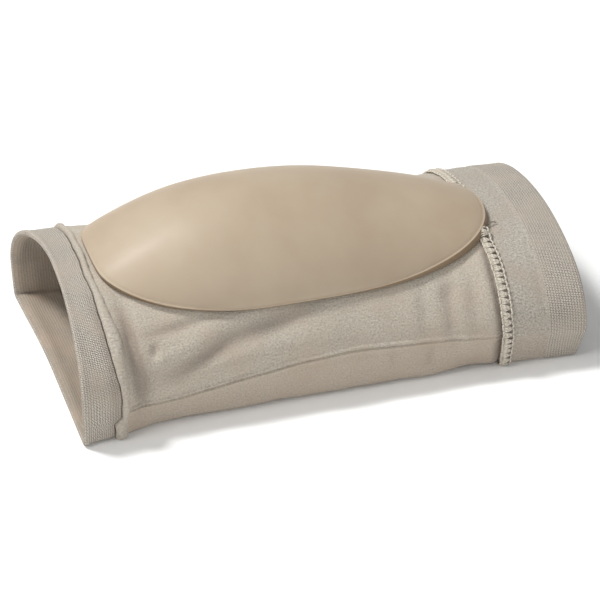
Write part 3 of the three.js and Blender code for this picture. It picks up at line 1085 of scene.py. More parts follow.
def wall_mesh(name: str, relief: FabricRelief, rows: list[WallRow], turn: np.ndarray,
              materials: list[bpy.types.Material]) -> bpy.types.Object:
    """Carry a closed profile right round the tube.

    Args:
        name: The object's name.
        relief: The fabric's folds over the smooth tube.
        rows: The profile's rounds, outer face first and then the inner one back again.
        turn: Turns of the points in each round, from -1 up to but not including 1.
        materials: The outer and inner material.

    Returns:
        The new object.
    """
    form = relief.form
    columns = len(turn)
    at = np.stack([np.broadcast_to(row.at, columns) for row in rows])
    lift = np.stack([np.broadcast_to(row.lift, columns) for row in rows])
    points = form.place(at, turn[None, :], lift)
    around = np.append(turn, 1.0) * float(np.mean(form.front_arc + form.back_arc)) / 2
    walked = at.mean(1) * form.length
    starts = np.where([row.face is Face.OUTER for row in rows], walked, walked + INNER_SHIFT)
    faces, uvs = ring_mesh(starts, np.append(starts[1:], starts[-1]), around)
    slots = np.repeat([row.face.value for row in rows], columns)
    piece = make_object(name, points, faces, uvs, materials, slots)
    below = relief.below_crease(at, turn[None, :])
    # Shade is painted below the front crease, where the fabric faces down, from this mark.
    under = smooth(-0.1 * MM, 0.5 * MM, below) * (turn < 0)
    mark_points(piece.data, "Underside", under)
    # Shade is painted in the folds and beside the seams from this mark.
    mark_points(piece.data, "PaintedShade", relief.painted_shade(at, turn[None, :]))
    return piece


def rim_rows(at: float, inward: float, thickness: float, form: SleeveForm,
             lift: np.ndarray) -> list[WallRow]:
    """Round a mouth's rim from one face to the other.

    Args:
        at: Share of the length at the rim.
        inward: 1 where the wall lies after the rim along the tube, -1 where it lies before it.
        thickness: Thickness of the wall at the rim.
        form: The smooth tube.
        lift: Lift of the outer face beside the rim.

    Returns:
        Rounds from the inner face to the outer one.
    """
    radius = thickness / 2
    rows = []
    angles = np.linspace(-math.pi / 2, math.pi / 2, 7)
    for angle in angles:
        place = at + inward * form.share(radius * (1 - math.cos(angle)))
        face = Face.INNER if angle == angles[0] else Face.OUTER
        rows.append(WallRow(place, lift - radius + radius * math.sin(angle), face))
    return rows


@dataclass
class NarrowSeam:
    """The rolled seam beside the narrow band: the body's edge turned over into a soft ridge.

    Attributes:
        form: The smooth tube.
        relief: The fabric's relief.
        width: Usual width.
        rise: Usual height.
        root: How deep its foot goes into the fabric.
        grain: Height of the pile on it.
        belly: How much wider it is where it swells in front, in shares of its width.
        belly_arc: Where that swelling lies, as an arc from the crown.
        belly_reach: How far round the tube it reaches.
        belly_shift: How far it leans towards the narrow mouth there.
        tail_arc: Where the turned-in end at the floor lies.
        tail_length: Length of that end.
        tail_swell: How much wider the end is, in shares of the width.
        tail_shift: How far the end leans towards the narrow mouth.
        neck: How much the ridge narrows before the end.
        neck_reach: How far round the tube that narrowing reaches.
        wander: Its wander along the tube. Columns: size, waves round the tube, phase.
        unevenness: How its width varies, in shares of it. The same columns.
        columns: Points round the tube.
        rows: Points round the ridge's own section.
    """

    form: SleeveForm
    relief: FabricRelief
    width: float = 1.45 * MM
    rise: float = 0.8 * MM
    root: float = 0.9 * MM
    grain: float = 0.025 * MM
    belly: float = 1.05
    belly_arc: float = -25 * MM
    belly_reach: float = 9 * MM
    belly_shift: float = 0.4 * MM
    tail_arc: float = -45.5 * MM
    tail_length: float = 3.6 * MM
    tail_swell: float = 0.85
    tail_shift: float = 1.15 * MM
    neck: float = 0.25
    neck_reach: float = 0.8 * MM
    wander: tuple[tuple[float, int, float], ...] = ((0.16 * MM, 5, 0.6), (0.10 * MM, 13, 2.0))
    unevenness: tuple[tuple[float, int, float], ...] = ((0.07, 17, 0.0), (0.05, 41, 1.0))
    columns: int = 420
    rows: int = 15

    def lean(self, turn: np.ndarray) -> tuple[np.ndarray, np.ndarray]:
        """Give the ridge's own wander along the tube and its swelling, round the tube.

        Args:
            turn: Turns round the tube.

        Returns:
            Distances along the tube, and widths in shares of the usual one.
        """
        seam = np.full_like(turn, self.form.narrow_seam)
        arc = self.form.arc(seam, turn)
        belly = hump(arc - self.belly_arc, self.belly_reach)
        tail = smooth(self.tail_arc + self.tail_length, self.tail_arc + 0.4 * self.tail_length, arc)
        neck = hump(arc - self.tail_arc - 0.8 * self.tail_length, self.neck_reach)
        wander = sum(size * np.sin(math.pi * waves * turn + phase)
                     for size, waves, phase in self.wander)
        wander -= self.belly_shift * belly + self.tail_shift * tail
        swelling = sum((size * np.sin(math.pi * waves * turn + phase)
                        for size, waves, phase in self.unevenness), 1.0)
        swelling += self.belly * belly
        return wander, swelling + self.tail_swell * tail - self.neck * neck

    def foot(self, turn: np.ndarray) -> np.ndarray:
        """Give the ridge's foot on the band's side, as shares of the length."""
        wander, swelling = self.lean(turn)
        return self.form.narrow_seam + (wander - self.width / 2 * swelling) / self.form.length

    def build(self, knit: bpy.types.Material) -> bpy.types.Object:
        """Make the ridge.

        Args:
            knit: The body's brushed knit.

        Returns:
            The ridge.
        """
        form = self.form
        turn = np.linspace(-1, 1, self.columns, endpoint=False)
        wander, swelling = self.lean(turn)
        half = self.width / 2
        grain = self.relief.pile(self.rows, self.columns, self.grain, 2)
        angle = np.linspace(0, 2 * math.pi, self.rows, endpoint=False)
        across = -np.cos(angle)[:, None] * half * swelling + wander
        top = np.sin(angle)[:, None]
        rise = self.rise * swelling**0.4
        lift = np.where(top < 0, -np.abs(top) * self.root, np.abs(top) ** 0.8 * rise) + grain
        at = form.narrow_seam + across / form.length
        points = form.place(at, turn[None, :], lift)
        girth = float(form.front_arc[0] + form.back_arc[0])
        around = np.linspace(-1, 1, self.columns + 1) * girth / 2
        strip = np.linspace(0, math.pi * self.width, self.rows + 1)
        faces, uvs = ring_mesh(strip[:-1], strip[1:], around)
        piece = make_object("narrow_seam_roll", points, faces, uvs, [knit])
        return dress(piece, ("narrow_seam",))


@dataclass
class NarrowBand:
    """The short band of flat knit at the narrow mouth, with its folded lip.

    Attributes:
        form: The smooth tube.
        relief: The fabric's relief.
        seam: The rolled seam that the band ends at.
        step: Distance between the outer face's rounds.
        columns: Points in each round.
        inner_rows: Rounds of the inner face.
        grain: Height of the knit's unevenness in the mesh.
        lip: How far the folded lip stands out of the outer face.
        lip_width: Width of the lip.
        lip_place: Distance from the rim to the lip's crest.
        inner_lip: How far it stands out of the inner face.
        inner_lip_run: Distances from the rim where it begins and is whole inside.
        slack_run: Distances from the rim between which the inner face grows slack.
        inner_run: Where the inner face starts from the rim, and how far it passes the seam.
        gather_reach: How far the seam's gathers reach into the band.
        seam_gap: Gap between the band and the seam's foot, which shows as a dark line.
        tuck: Rounds that turn the end in. Columns: distance past the end, depth below it.
        wall: Thickness.
        flat_length: Length of the flat strip, with the edge that is turned in. Not used.
    """

    form: SleeveForm
    relief: FabricRelief
    seam: NarrowSeam
    step: float = 0.45 * MM
    columns: int = 288
    inner_rows: int = 26
    grain: float = 0.015 * MM
    lip: float = 0.28 * MM
    lip_width: float = 0.8 * MM
    lip_place: float = 0.6 * MM
    inner_lip: float = 0.28 * MM
    inner_lip_run: tuple[float, float] = (3.4 * MM, 1.0 * MM)
    slack_run: tuple[float, float] = (0.9 * MM, 3.0 * MM)
    inner_run: tuple[float, float] = (0.9 * MM, 0.2 * MM)
    gather_reach: float = 2.2 * MM
    seam_gap: float = 0.22 * MM
    tuck: tuple[tuple[float, float], ...] = ((0.12 * MM, 0.25 * MM), (0.3 * MM, 0.8 * MM))
    wall: float = 1.25 * MM
    flat_length: float = 10.5 * MM

    def build(self, materials: list[bpy.types.Material]) -> bpy.types.Object:
        """Make the band.

        Args:
            materials: The outer and inner knit.

        Returns:
            The band.
        """
        form, relief = self.form, self.relief
        turn = np.linspace(-1, 1, self.columns, endpoint=False)
        start = form.share(self.wall / 2 + self.step)
        end = self.seam.foot(turn) - form.share(self.seam_gap)
        places = np.linspace(start, end, int((end.max() - start) * form.length / self.step) + 1)
        grain = relief.pile(len(places), self.columns, self.grain, 1)
        rows = rim_rows(0, 1, self.wall, form, self._lift(0.0, turn))
        outer = [WallRow(at, self._lift(at, turn) + grain[k], Face.OUTER)
                 for k, at in enumerate(places)]
        edge = self._lift(end, turn)
        tuck = [WallRow(end + form.share(past), edge - depth, Face.OUTER)
                for past, depth in self.tuck]
        from_rim, past_seam = (form.share(run) for run in self.inner_run)
        inner = [WallRow(at, self._lift(at, turn) - self.wall - self._inner_rise(at, turn),
                         Face.INNER)
                 for at in np.linspace(form.narrow_seam + past_seam, from_rim, self.inner_rows)]
        piece = wall_mesh("narrow_band", relief, rows + outer + tuck + inner, turn, materials)
        return dress(piece, ("narrow_cuff",))

    def _inner_rise(self, at: float, turn: np.ndarray) -> np.ndarray:
        """Give how far the inner face stands in: its soft bands, and the folded lip at the rim.

        Args:
            at: Share of the length.
            turn: Turns round the tube.

        Returns:
            Distances inward.
        """
        depth = at * self.form.length
        slack = self.relief.slack(at, turn) * smooth(*self.slack_run, depth)
        return slack + self.inner_lip * smooth(*self.inner_lip_run, depth)

    def _lift(self, at: float | np.ndarray, turn: np.ndarray) -> np.ndarray:
        """Give the lift of the band's outer face in one round.

        Args:
            at: Share of the length, one number or one for each point.
            turn: Turns round the tube.

        Returns:
            Lifts over the smooth tube.
        """
        form, relief = self.form, self.relief
        spread = np.full_like(turn, at)
        lift = relief.soft_waves(spread, turn) * 0.5
        lift += relief.puckers(spread, turn, form.narrow_seam, self.gather_reach)
        from_lip = (at - form.share(self.lip_place)) * form.length
        return lift + self.lip * hump(from_lip, self.lip_width)


@dataclass
class SleeveBody:
    """The long brushed tube between the two seams, with its folds and its pressed front crease.

    Attributes:
        form: The smooth tube.
        relief: The fabric's relief.
        step: Distance between the outer face's rounds.
        fine_step: The same beside the narrow seam, where the folds are sharpest.
        fine_reach: How far from that seam the finer rounds reach.
        columns: Points in each round.
        crease_columns: Points added to each round where the crease runs.
        inner_rows: Rounds of the inner face.
        wall: Thickness.
        pile_height: Height of the pile in the mesh.
        groove_place: Distance before the broad seam at which its thread draws the fabric in.
        groove_width: Half width of the groove there.
        groove_depths: Its least depth, and what is added down the front.
        groove_arcs: Arcs between which that is added.
        seam_dip: How far the fabric dips under the stitches.
        seam_dip_width: Half width of that dip.
    """

    form: SleeveForm
    relief: FabricRelief
    step: float = 0.55 * MM
    fine_step: float = 0.32 * MM
    fine_reach: float = 9 * MM
    columns: int = 300
    crease_columns: int = 72
    inner_rows: int = 80
    wall: float = 1.2 * MM
    pile_height: float = 0.018 * MM
    groove_place: float = 1.25 * MM
    groove_width: float = 0.55 * MM
    groove_depths: tuple[float, float] = (0.25 * MM, 0.65 * MM)
    groove_arcs: tuple[float, float] = (-8 * MM, -20 * MM)
    seam_dip: float = 0.35 * MM
    seam_dip_width: float = 0.9 * MM

    def build(self, materials: list[bpy.types.Material]) -> bpy.types.Object:
        """Make the tube.

        Args:
            materials: The brushed outer face and the knitted inner face.

        Returns:
            The tube.
        """
        form, relief = self.form, self.relief
        turn = fine_turns(self.columns, self.crease_columns)
        start = form.narrow_seam - form.share(0.3 * MM)
        end = form.broad_seam - form.share(form.seam_clear)
        turn_in = start + form.share(self.fine_reach)
        places = np.concatenate([
            np.linspace(start, turn_in, int(self.fine_reach / self.fine_step), endpoint=False),
            np.linspace(turn_in, end, int((end - turn_in) * form.length / self.step) + 1)])
        grain = relief.pile(len(places), len(turn), self.pile_height, 3)
        outer = [WallRow(at, self._lift(at, turn) + grain[k], Face.OUTER)
                 for k, at in enumerate(places)]
        inner = [WallRow(at, self._lift(at, turn) - self.wall - relief.slack(at, turn), Face.INNER)
                 for at in np.linspace(end, start, self.inner_rows)]
        piece = wall_mesh("sleeve_body_knit", relief, outer + inner, turn, materials)
        return dress(piece, ("sleeve_body",))

    def _lift(self, at: float, turn: np.ndarray) -> np.ndarray:
        """Give the lift of the body's outer face in one round.

        Args:
            at: Share of the length.
            turn: Turns round the tube.

        Returns:
            Lifts over the smooth tube.
        """
        form, relief = self.form, self.relief
        spread = np.full_like(turn, at)
        lift = relief.body_lift(spread, turn) + relief.soft_waves(spread, turn)
        lift += relief.puckers(spread, turn, form.broad_seam, 2.0 * MM)
        lift += relief.puckers(spread, turn, form.narrow_seam, 2.5 * MM) * 0.8
        past_seam = (at - form.broad_seam) * form.length
        groove = hump(past_seam + self.groove_place, self.groove_width)
        least, added = self.groove_depths
        deep = least + added * smooth(*self.groove_arcs, form.arc(spread, turn))
        return lift - deep * groove - self.seam_dip * hump(past_seam, self.seam_dip_width)


@dataclass
class BroadBand:
    """The wide band at the broad mouth: brushed knit, then an 8 mm hem of flat knit.

    Attributes:
        form: The smooth tube.
        relief: The fabric's relief.
        step: Distance between the outer face's rounds.
        columns: Points in each round.
        inner_rows: Rounds of the inner face.
        grain: Height of the knit's unevenness in the mesh.
        wall: Thickness.
        hem: Length of the hem.
        hem_rise: How much thicker the hem is.
        hem_line: Depth of the line of stitches before the hem.
        hem_line_width: Half width of that line.
        seam_dip: How far the fabric dips under the stitches of the broad seam.
        seam_dip_width: Half width of that dip.
    """

    form: SleeveForm
    relief: FabricRelief
    step: float = 0.5 * MM
    columns: int = 288
    inner_rows: int = 22
    grain: float = 0.02 * MM
    wall: float = 1.3 * MM
    hem: float = 8 * MM
    hem_rise: float = 0.12 * MM
    hem_line: float = 0.08 * MM
    hem_line_width: float = 0.45 * MM
    seam_dip: float = 0.25 * MM
    seam_dip_width: float = 0.9 * MM

    def build(self, brushed: bpy.types.Material, flat: bpy.types.Material) -> bpy.types.Object:
        """Make the band.

        Args:
            brushed: The brushed knit beside the seam.
            flat: The flat knit of the hem and the inner face.

        Returns:
            The band.
        """
        form, relief = self.form, self.relief
        turn = np.linspace(-1, 1, self.columns, endpoint=False)
        start = form.broad_seam + form.share(form.seam_clear)
        end = 1 - form.share(self.wall / 2 + self.step)
        places = np.linspace(start, end, int((end - start) * form.length / self.step) + 1)
        grain = relief.pile(len(places), self.columns, self.grain, 4)
        hem_at = 1 - form.share(self.hem)
        outer = [WallRow(at, self._lift(at, turn) + grain[k] * (1.2 if at < hem_at else 0.7),
                         Face.OUTER) for k, at in enumerate(places)]
        rim = rim_rows(1, -1, self.wall, form, self._lift(end, turn))[::-1]
        inner = [WallRow(at, self._lift(at, turn) - self.wall, Face.INNER)
                 for at in np.linspace(end, start, self.inner_rows)]
        piece = wall_mesh("broad_band", relief, outer + rim + inner, turn, [brushed, flat])
        self._hem_slots(piece, len(turn), sum(at < hem_at for at in places))
        return dress(piece, ("broad_cuff",))

    def _hem_slots(self, piece: bpy.types.Object, columns: int, first_hem_row: int) -> None:
        """Give the hem's outer rounds the flat knit too.

        Args:
            piece: The band.
            columns: Points in each round.
            first_hem_row: Number of the hem's first round.
        """
        slots = np.empty(len(piece.data.polygons), np.int32)
        piece.data.polygons.foreach_get("material_index", slots)
        slots[first_hem_row * columns:] = Face.INNER.value
        piece.data.polygons.foreach_set("material_index", slots)

    def _lift(self, at: float, turn: np.ndarray) -> np.ndarray:
        """Give the lift of the band's outer face in one round.

        Args:
            at: Share of the length.
            turn: Turns round the tube.

        Returns:
            Lifts over the smooth tube.
        """
        form, relief = self.form, self.relief
        spread = np.full_like(turn, at)
        lift = relief.soft_waves(spread, turn) * 0.6
        lift += relief.puckers(spread, turn, form.broad_seam, 2.0 * MM)
        into_hem = (at - 1) * form.length + self.hem
        lift += self.hem_rise * smooth(-0.5 * MM, 0.5 * MM, np.array(into_hem))
        lift -= self.hem_line * hump(np.array(into_hem + 0.7 * MM), self.hem_line_width)
        lift += relief.crease_lift(spread, turn) * 0.6
        past_seam = (at - form.broad_seam) * form.length
        return lift - self.seam_dip * hump(past_seam, self.seam_dip_width)


def thread_mesh(name: str, paths: list[np.ndarray], outs: list[np.ndarray], radii: list[float],
                sides: int, material: bpy.types.Material) -> bpy.types.Object:
    """Make many short threads as one mesh of closed tubes.

    Args:
        name: The object's name.
        paths: The points that each thread follows.
        outs: The outward direction at each point of each thread.
        radii: The radius of each thread.
        sides: Sides of each tube.
        material: The thread's material.

    Returns:
        The new object.
    """
    points, faces, uvs, first = [], [], [], 0
    angle = np.linspace(0, 2 * math.pi, sides, endpoint=False)
    for path, out, radius in zip(paths, outs, radii):
        count = len(path)
        along = np.gradient(path, axis=0)
        along /= np.linalg.norm(along, axis=1, keepdims=True)
        side = np.cross(along, out)
        side /= np.linalg.norm(side, axis=1, keepdims=True)
        up = np.cross(side, along)
        taper = np.ones(count)
        taper[0] = taper[-1] = 0.45
        ring = (np.cos(angle)[None, :, None] * side[:, None]
                + np.sin(angle)[None, :, None] * up[:, None])
        points.append((path[:, None] + ring * (radius * taper)[:, None, None]).reshape(-1, 3))
        i, j = np.meshgrid(np.arange(count - 1), np.arange(sides), indexing="ij")
        j2 = (j + 1) % sides
        here, beyond = i * sides, (i + 1) * sides
        quads = np.stack([here + j, here + j2, beyond + j2, beyond + j], -1)
        faces.extend((quads.reshape(-1, 4) + first).tolist())
        faces.append([first + k for k in range(sides)][::-1])
        faces.append([first + (count - 1) * sides + k for k in range(sides)])
        walked = np.concatenate([[0], np.cumsum(np.linalg.norm(np.diff(path, axis=0), axis=1))])
        rim = np.linspace(0, 2 * math.pi * radius, sides + 1)
        corners = ((walked[i], rim[j]), (walked[i], rim[j + 1]),
                   (walked[i + 1], rim[j + 1]), (walked[i + 1], rim[j]))
        uvs.append(np.stack([np.stack(corner, -1) for corner in corners], 2).reshape(-1, 2))
        uvs.append(np.zeros((2 * sides, 2)))
        first += count * sides
    return make_object(name, np.vstack(points), faces, np.vstack(uvs), [material])


@dataclass
class OverlockSeam:
    """The flat overlocked seam: a ladder of zigzag rungs between two rows of chained loops.

    Attributes:
        form: The smooth tube.
        relief: The fabric's relief.
        pitch: Distance from one rung to the next.
        half_width: Half width of the ladder.
        thread: Radius of one strand.
        height: Height of the rungs' arches.
        lap: How far the last stitches climb over the pad's lip.
        lap_arcs: Arcs where that climb starts, is whole, and ends under the pad.
        step_aside: How far the ladder bends towards the body beside the pad.
        step_aside_arcs: Arcs between which it bends.
        fan: Where each strand of a rung starts, in shares of the pitch.
        meet: Where the strands of a rung draw together at the right, in the same shares.
        meet_spread: Share of their spread that is left there.
        right_inset: How far inside the right edge the rungs end.
        edge_loops: The loops along both edges. Columns: side, inset, bulge, then length and
            start in shares of the pitch, and height in shares of the rungs'.
        foot: Height of a strand's ends, in shares of the rungs'.
        stray: Usual error of a rung's ends and of a loop, across the seam.
        jitter: Usual error of a rung's ends along the seam, in shares of the pitch.
        variety: Least and greatest share of a strand's usual height or thickness.
        steps: Points along a strand.
        sides: Sides of a strand.
        bed_columns: Points in each round of the joined edges under the stitches.
        bed_profile: Section of those edges. Columns: share of the half width, millimetres of lift.
        end_radius: Radius of the cut end of yarn.
        end_length: Length of that end along the tube.
        end_arc: Where it lies, as an arc from the crown.
    """

    form: SleeveForm
    relief: FabricRelief
    pitch: float = 1.5 * MM
    half_width: float = 0.98 * MM
    thread: float = 0.235 * MM
    height: float = 0.42 * MM
    lap: float = 1.1 * MM
    lap_arcs: tuple[float, float, float] = (-10.6 * MM, -9.2 * MM, -8.3 * MM)
    step_aside: float = 0.6 * MM
    step_aside_arcs: tuple[float, float] = (-18 * MM, -8 * MM)
    fan: tuple[float, ...] = (0.02, 0.26, 0.5, 0.74)
    meet: float = 0.42
    meet_spread: float = 0.3
    right_inset: float = 0.2 * MM
    edge_loops: tuple[tuple[float, float, float, float, float, float], ...] = (
        (-1, 0.0, 0.12 * MM, 1.1, -0.05, 0.6), (1, 0.1 * MM, 0.16 * MM, 1.15, 0.35, 1.0))
    foot: float = 0.1
    stray: tuple[float, float] = (0.06 * MM, 0.05 * MM)
    jitter: float = 0.03
    variety: tuple[float, float] = (0.85, 1.15)
    steps: int = 9
    sides: int = 6
    bed_columns: int = 240
    bed_profile: tuple[tuple[float, float], ...] = (
        (-1.0, -0.40), (-0.5, -0.22), (0.0, -0.30), (0.5, -0.45), (1.0, -0.22),
        (1.0, -1.3), (0.5, -1.75), (-0.5, -1.75), (-1.0, -1.3))
    end_radius: float = 0.12 * MM
    end_length: float = 2.6 * MM
    end_arc: float = -7.4 * MM

    def bed(self, knit: bpy.types.Material) -> bpy.types.Object:
        """Make the strip of joined edges under the stitches, which closes the tube at the seam.

        Args:
            knit: The knit of the joined edges.

        Returns:
            The strip, which stands for the seam's solid.
        """
        turn = np.linspace(-1, 1, self.bed_columns, endpoint=False)
        rows = [WallRow(self.form.broad_seam + self.form.share(side * self.half_width),
                        np.full_like(turn, lift * MM), Face.OUTER)
                for side, lift in self.bed_profile]
        piece = wall_mesh("broad_seam_bed", self.relief, rows, turn, [knit])
        return dress(piece, ("broad_seam",))

    def ladder(self, thread: bpy.types.Material) -> bpy.types.Object:
        """Make the stitches.

        Args:
            thread: The sewing yarn.

        Returns:
            The stitches as one mesh.
        """
        form = self.form
        rng = np.random.default_rng(SEED + 5)
        around = float(np.interp(form.broad_seam, form.at, form.front_arc + form.back_arc))
        count = int(around / self.pitch)
        paths, outs, radii = [], [], []
        climb, top, end = self.lap_arcs
        for k in range(count):
            for across, turn, lift in self._stitch(-1 + 2 * k / count, 2 / count, rng):
                at = form.broad_seam + across / form.length
                arc = form.arc(at, np.broadcast_to(turn, at.shape))
                lift = lift + self.lap * smooth(climb, top, arc) * (arc < end)
                aside = smooth(*self.step_aside_arcs, arc) * (turn < 0)
                at = at - form.share(self.step_aside) * aside
                paths.append(form.place(at, turn, lift))
                outs.append(form.out(at, turn))
                radii.append(self.thread * rng.uniform(*self.variety))
        paths = [np.maximum(path, [-1, -1, self.thread]) for path in paths]
        piece = thread_mesh("overlock_ladder", paths, outs, radii, self.sides, thread)
        return dress(piece)

    def _stitch(self, here: float, wide: float,
                rng: np.random.Generator) -> list[tuple[np.ndarray, np.ndarray, np.ndarray]]:
        """Draw one stitch: a fan of strands across the seam, and a loop along each of its edges.

        Args:
            here: Turn at which the stitch starts.
            wide: Turns that it takes up.
            rng: The ladder's random numbers.

        Returns:
            Distances across the seam, turns and lifts of each strand's points.
        """
        t = np.linspace(0, 1, self.steps)
        arch = np.sin(math.pi * t)
        rung_stray, loop_stray = self.stray
        edges = (-self.half_width, self.half_width - self.right_inset)
        strands = []
        for part in self.fan:
            left, right = rng.normal(0, rung_stray, 2) + edges
            begin = here + wide * (part + rng.normal(0, self.jitter))
            drawn = self.meet + self.meet_spread * (part - self.meet)
            finish = here + wide * (drawn + rng.normal(0, self.jitter))
            strands.append((left + (right - left) * t,
                            begin + (finish - begin) * smooth(0.25, 1.0, t),
                            self.height * (self.foot + arch**0.5 * rng.uniform(*self.variety))))
        strays = rng.normal(0, loop_stray, 2)
        for (side, inset, bulge, long, start, high), stray in zip(self.edge_loops, strays):
            strands.append((side * (self.half_width - inset) + stray + side * bulge * arch,
                            here + wide * (long * t + start),
                            self.height * (self.foot + high * arch)))
        return strands

    def tail(self, thread: bpy.types.Material) -> bpy.types.Object:
        """Make the short cut end of yarn beside the pad's tip.

        Args:
            thread: The sewing yarn.

        Returns:
            The thread end.
        """
        form = self.form
        t = np.linspace(0, 1, 14)
        at = form.broad_seam + form.share(0.6 * MM) + form.share(self.end_length) * t
        turn = form.turn_of(at, self.end_arc + 0.7 * MM * np.sin(math.pi * 0.8 * t) + 0.9 * MM * t)
        lift = 0.45 * MM + 0.3 * MM * np.sin(math.pi * t)
        piece = thread_mesh("overlock_thread_end", [form.place(at, turn, lift)],
                            [form.out(at, turn)], [self.end_radius], 8, thread)
        return dress(piece)


@dataclass
class GelPad:
    """The domed arch pad of cast gel, with its thin lip, from the narrow seam to past the other.

    Attributes:
        form: The smooth tube.
        near: Arc from the crown to the front edge.
        far: Arc from the crown to the back edge.
        lip: Thickness of the lip.
        dome: Height of the dome over the lip.
        dome_power: Fullness of the dome, less for a fuller one.
        seam_gap: Gap between the pad and the narrow seam's ridge.
        tip_cut: How much of the rounded left end the straight cut beside the seam takes off.
        over_seam: How far the right end reaches past the broad seam.
        widest: Where the pad is widest, as a share of its length.
        left_power: Squareness of the left half's outline, 2 for an ellipse.
        right_power: The same for the right half.
        clear: Gap under the pad.
        seam_rise: How far the underside rises to pass over the broad seam.
        ride: Distance over which it rises.
        flange_left: Width of the flat rim round the dome at the left end.
        flange_right: The same at the right end.
        flange_run: Shares of the tube's length between which the one passes to the other.
        edge_round: Radius of the lip's upper edge.
        edge_groove: Depth of the faint groove inside that edge.
        side_profile: The lip's side from the bottom up. Columns: millimetres in from the outline,
            millimetres up. The second is also how much of the flare and the drop is over by there.
        flare: How far the side's foot spreads at the right end, where it lies over the seam.
        flare_run: Shares of the tube's length between which that spreading comes in.
        corner: Radius of the corners beside the straight cut.
        spokes: Points in each ring.
        rings: Rings of the top.
        rim_band: Width of the outer band of closer rings.
        under_rings: Rings of the underside, as shares of the way to the outline.
    """

    form: SleeveForm
    near: float = 23.6 * MM
    far: float = 19 * MM
    lip: float = 1.2 * MM
    dome: float = 8.35 * MM
    dome_power: float = 0.9
    seam_gap: float = 0.35 * MM
    tip_cut: float = 1.8 * MM
    over_seam: float = 2 * MM
    widest: float = 0.43
    left_power: float = 2.3
    right_power: float = 2.2
    clear: float = 0.12 * MM
    seam_rise: float = 0.6 * MM
    ride: float = 26 * MM
    flange_left: float = 0.3 * MM
    flange_right: float = 0.4 * MM
    flange_run: tuple[float, float] = (0.45, 0.8)
    edge_round: float = 0.13 * MM
    edge_groove: float = 0.05 * MM
    side_profile: tuple[tuple[float, float], ...] = (
        (0.3, 0.0), (0.12, 0.08), (0.06, 0.35), (0.02, 0.7), (0.0, 0.98))
    flare: float = 0.85 * MM
    flare_run: tuple[float, float] = (0.5, 0.85)
    corner: float = 1.6 * MM
    spokes: int = 320
    rings: int = 64
    rim_band: float = 3 * MM
    under_rings: tuple[float, ...] = (0.03, 0.3, 0.6, 0.85, 0.95)

    def __post_init__(self) -> None:
        """Work out the pad's ends and its widest place along the tube."""
        form = self.form
        self.start = form.narrow_seam + form.share(1.05 * MM + self.seam_gap)
        self.end = form.broad_seam + form.share(self.over_seam)
        self.middle = self.start + (self.end - self.start) * self.widest

    def plan(self, radius: np.ndarray, angle: np.ndarray) -> tuple[np.ndarray, np.ndarray]:
        """Give places of the pad's plan as shares of the length and arcs from the crown.

        Args:
            radius: Shares of the way from the middle to the outline.
            angle: Spokes' angles, from the broad end towards the back.

        Returns:
            Shares of the length, and arcs.
        """
        along, across = np.cos(angle), np.sin(angle)
        power = 2 / np.where(along < 0, self.left_power, self.right_power)
        left = self.middle - self.start + self.form.share(self.tip_cut)
        reach = np.where(along < 0, left, self.end - self.middle)
        at = self.middle + reach * radius * np.sign(along) * np.abs(along) ** power
        trim = self.middle + (self.start - self.middle) * radius
        corner = self.form.share(self.corner) * radius
        at = (at + trim + np.sqrt((at - trim) ** 2 + corner**2)) / 2 - corner * 0.12
        width = np.where(across < 0, self.near, self.far)
        return at, width * radius * np.sign(across) * np.abs(across) ** power

    def under(self, at: np.ndarray) -> np.ndarray:
        """Give the height of the pad's underside, which rides up over the broad seam.

        Args:
            at: Shares of the length.

        Returns:
            Heights over the fabric.
        """
        seam_edge = self.form.broad_seam - self.form.share(1.2 * MM)
        start = seam_edge - self.form.share(self.ride)
        return self.clear + self.seam_rise * smooth(start, seam_edge, at)

    def _spread(self) -> np.ndarray:
        """Space the spokes evenly along the outline.

        Returns:
            The spokes' angles.
        """
        fine = np.linspace(0, 2 * math.pi, FINE_STEPS)
        at, arc = self.plan(np.array(1.0), fine)
        line = np.stack([at * self.form.length, arc], 1)
        walked = np.concatenate([[0], np.cumsum(np.linalg.norm(np.diff(line, axis=0), axis=1))])
        return np.interp(np.linspace(0, walked[-1], self.spokes, endpoint=False), walked, fine)

    def build(self, gel: bpy.types.Material) -> bpy.types.Object:
        """Args:
            gel: The cast silicone.

        Returns:
            The pad.
        """
        form = self.form
        angle = self._spread()
        edge_at, edge_arc = self.plan(np.array(1.0), angle)
        reach = np.hypot((edge_at - self.middle) * form.length, edge_arc)
        widening = self.flange_right - self.flange_left
        flange = self.flange_left + widening * smooth(*self.flange_run, edge_at)
        from_edge = np.concatenate([
            np.linspace(0, 1, 7, endpoint=False) ** 1.6 * self.edge_round,
            np.linspace(self.edge_round, self.rim_band, 16, endpoint=False)])
        top = [self._ring(1 - distance / reach, angle, self._thickness(distance, reach, flange))
               for distance in from_edge]
        inner = 1 - self.rim_band / reach
        for part in np.linspace(1, self.under_rings[0], self.rings - len(from_edge)):
            radius = inner * part
            thickness = self._thickness((1 - radius) * reach, reach, flange)
            top.append(self._ring(radius, angle, thickness))
        under = [self._ring(np.full_like(angle, radius), angle, np.zeros_like(angle))
                 for radius in self.under_rings]
        flare = self.flare * smooth(*self.flare_run, edge_at)
        drop = self.under(edge_at) - self.clear
        side = [self._ring(1 - (inset * MM - flare * (1 - rise)) / reach, angle,
                           rise * MM - drop * (1 - rise)) for inset, rise in self.side_profile]
        middle, crown = np.array([self.middle]), np.array([0.0])
        top_middle = form.place(middle, crown, self.under(middle) + self.lip + self.dome)
        under_middle = form.place(middle, crown, self.under(middle))
        layers = under + side + top
        points = np.vstack([under_middle, *[layer for layer, _ in layers], top_middle])
        flat = np.vstack([[[0.0, 0.0]], *[place for _, place in layers], [[0.0, 0.0]]])
        return self._close(points, flat, len(layers), gel)

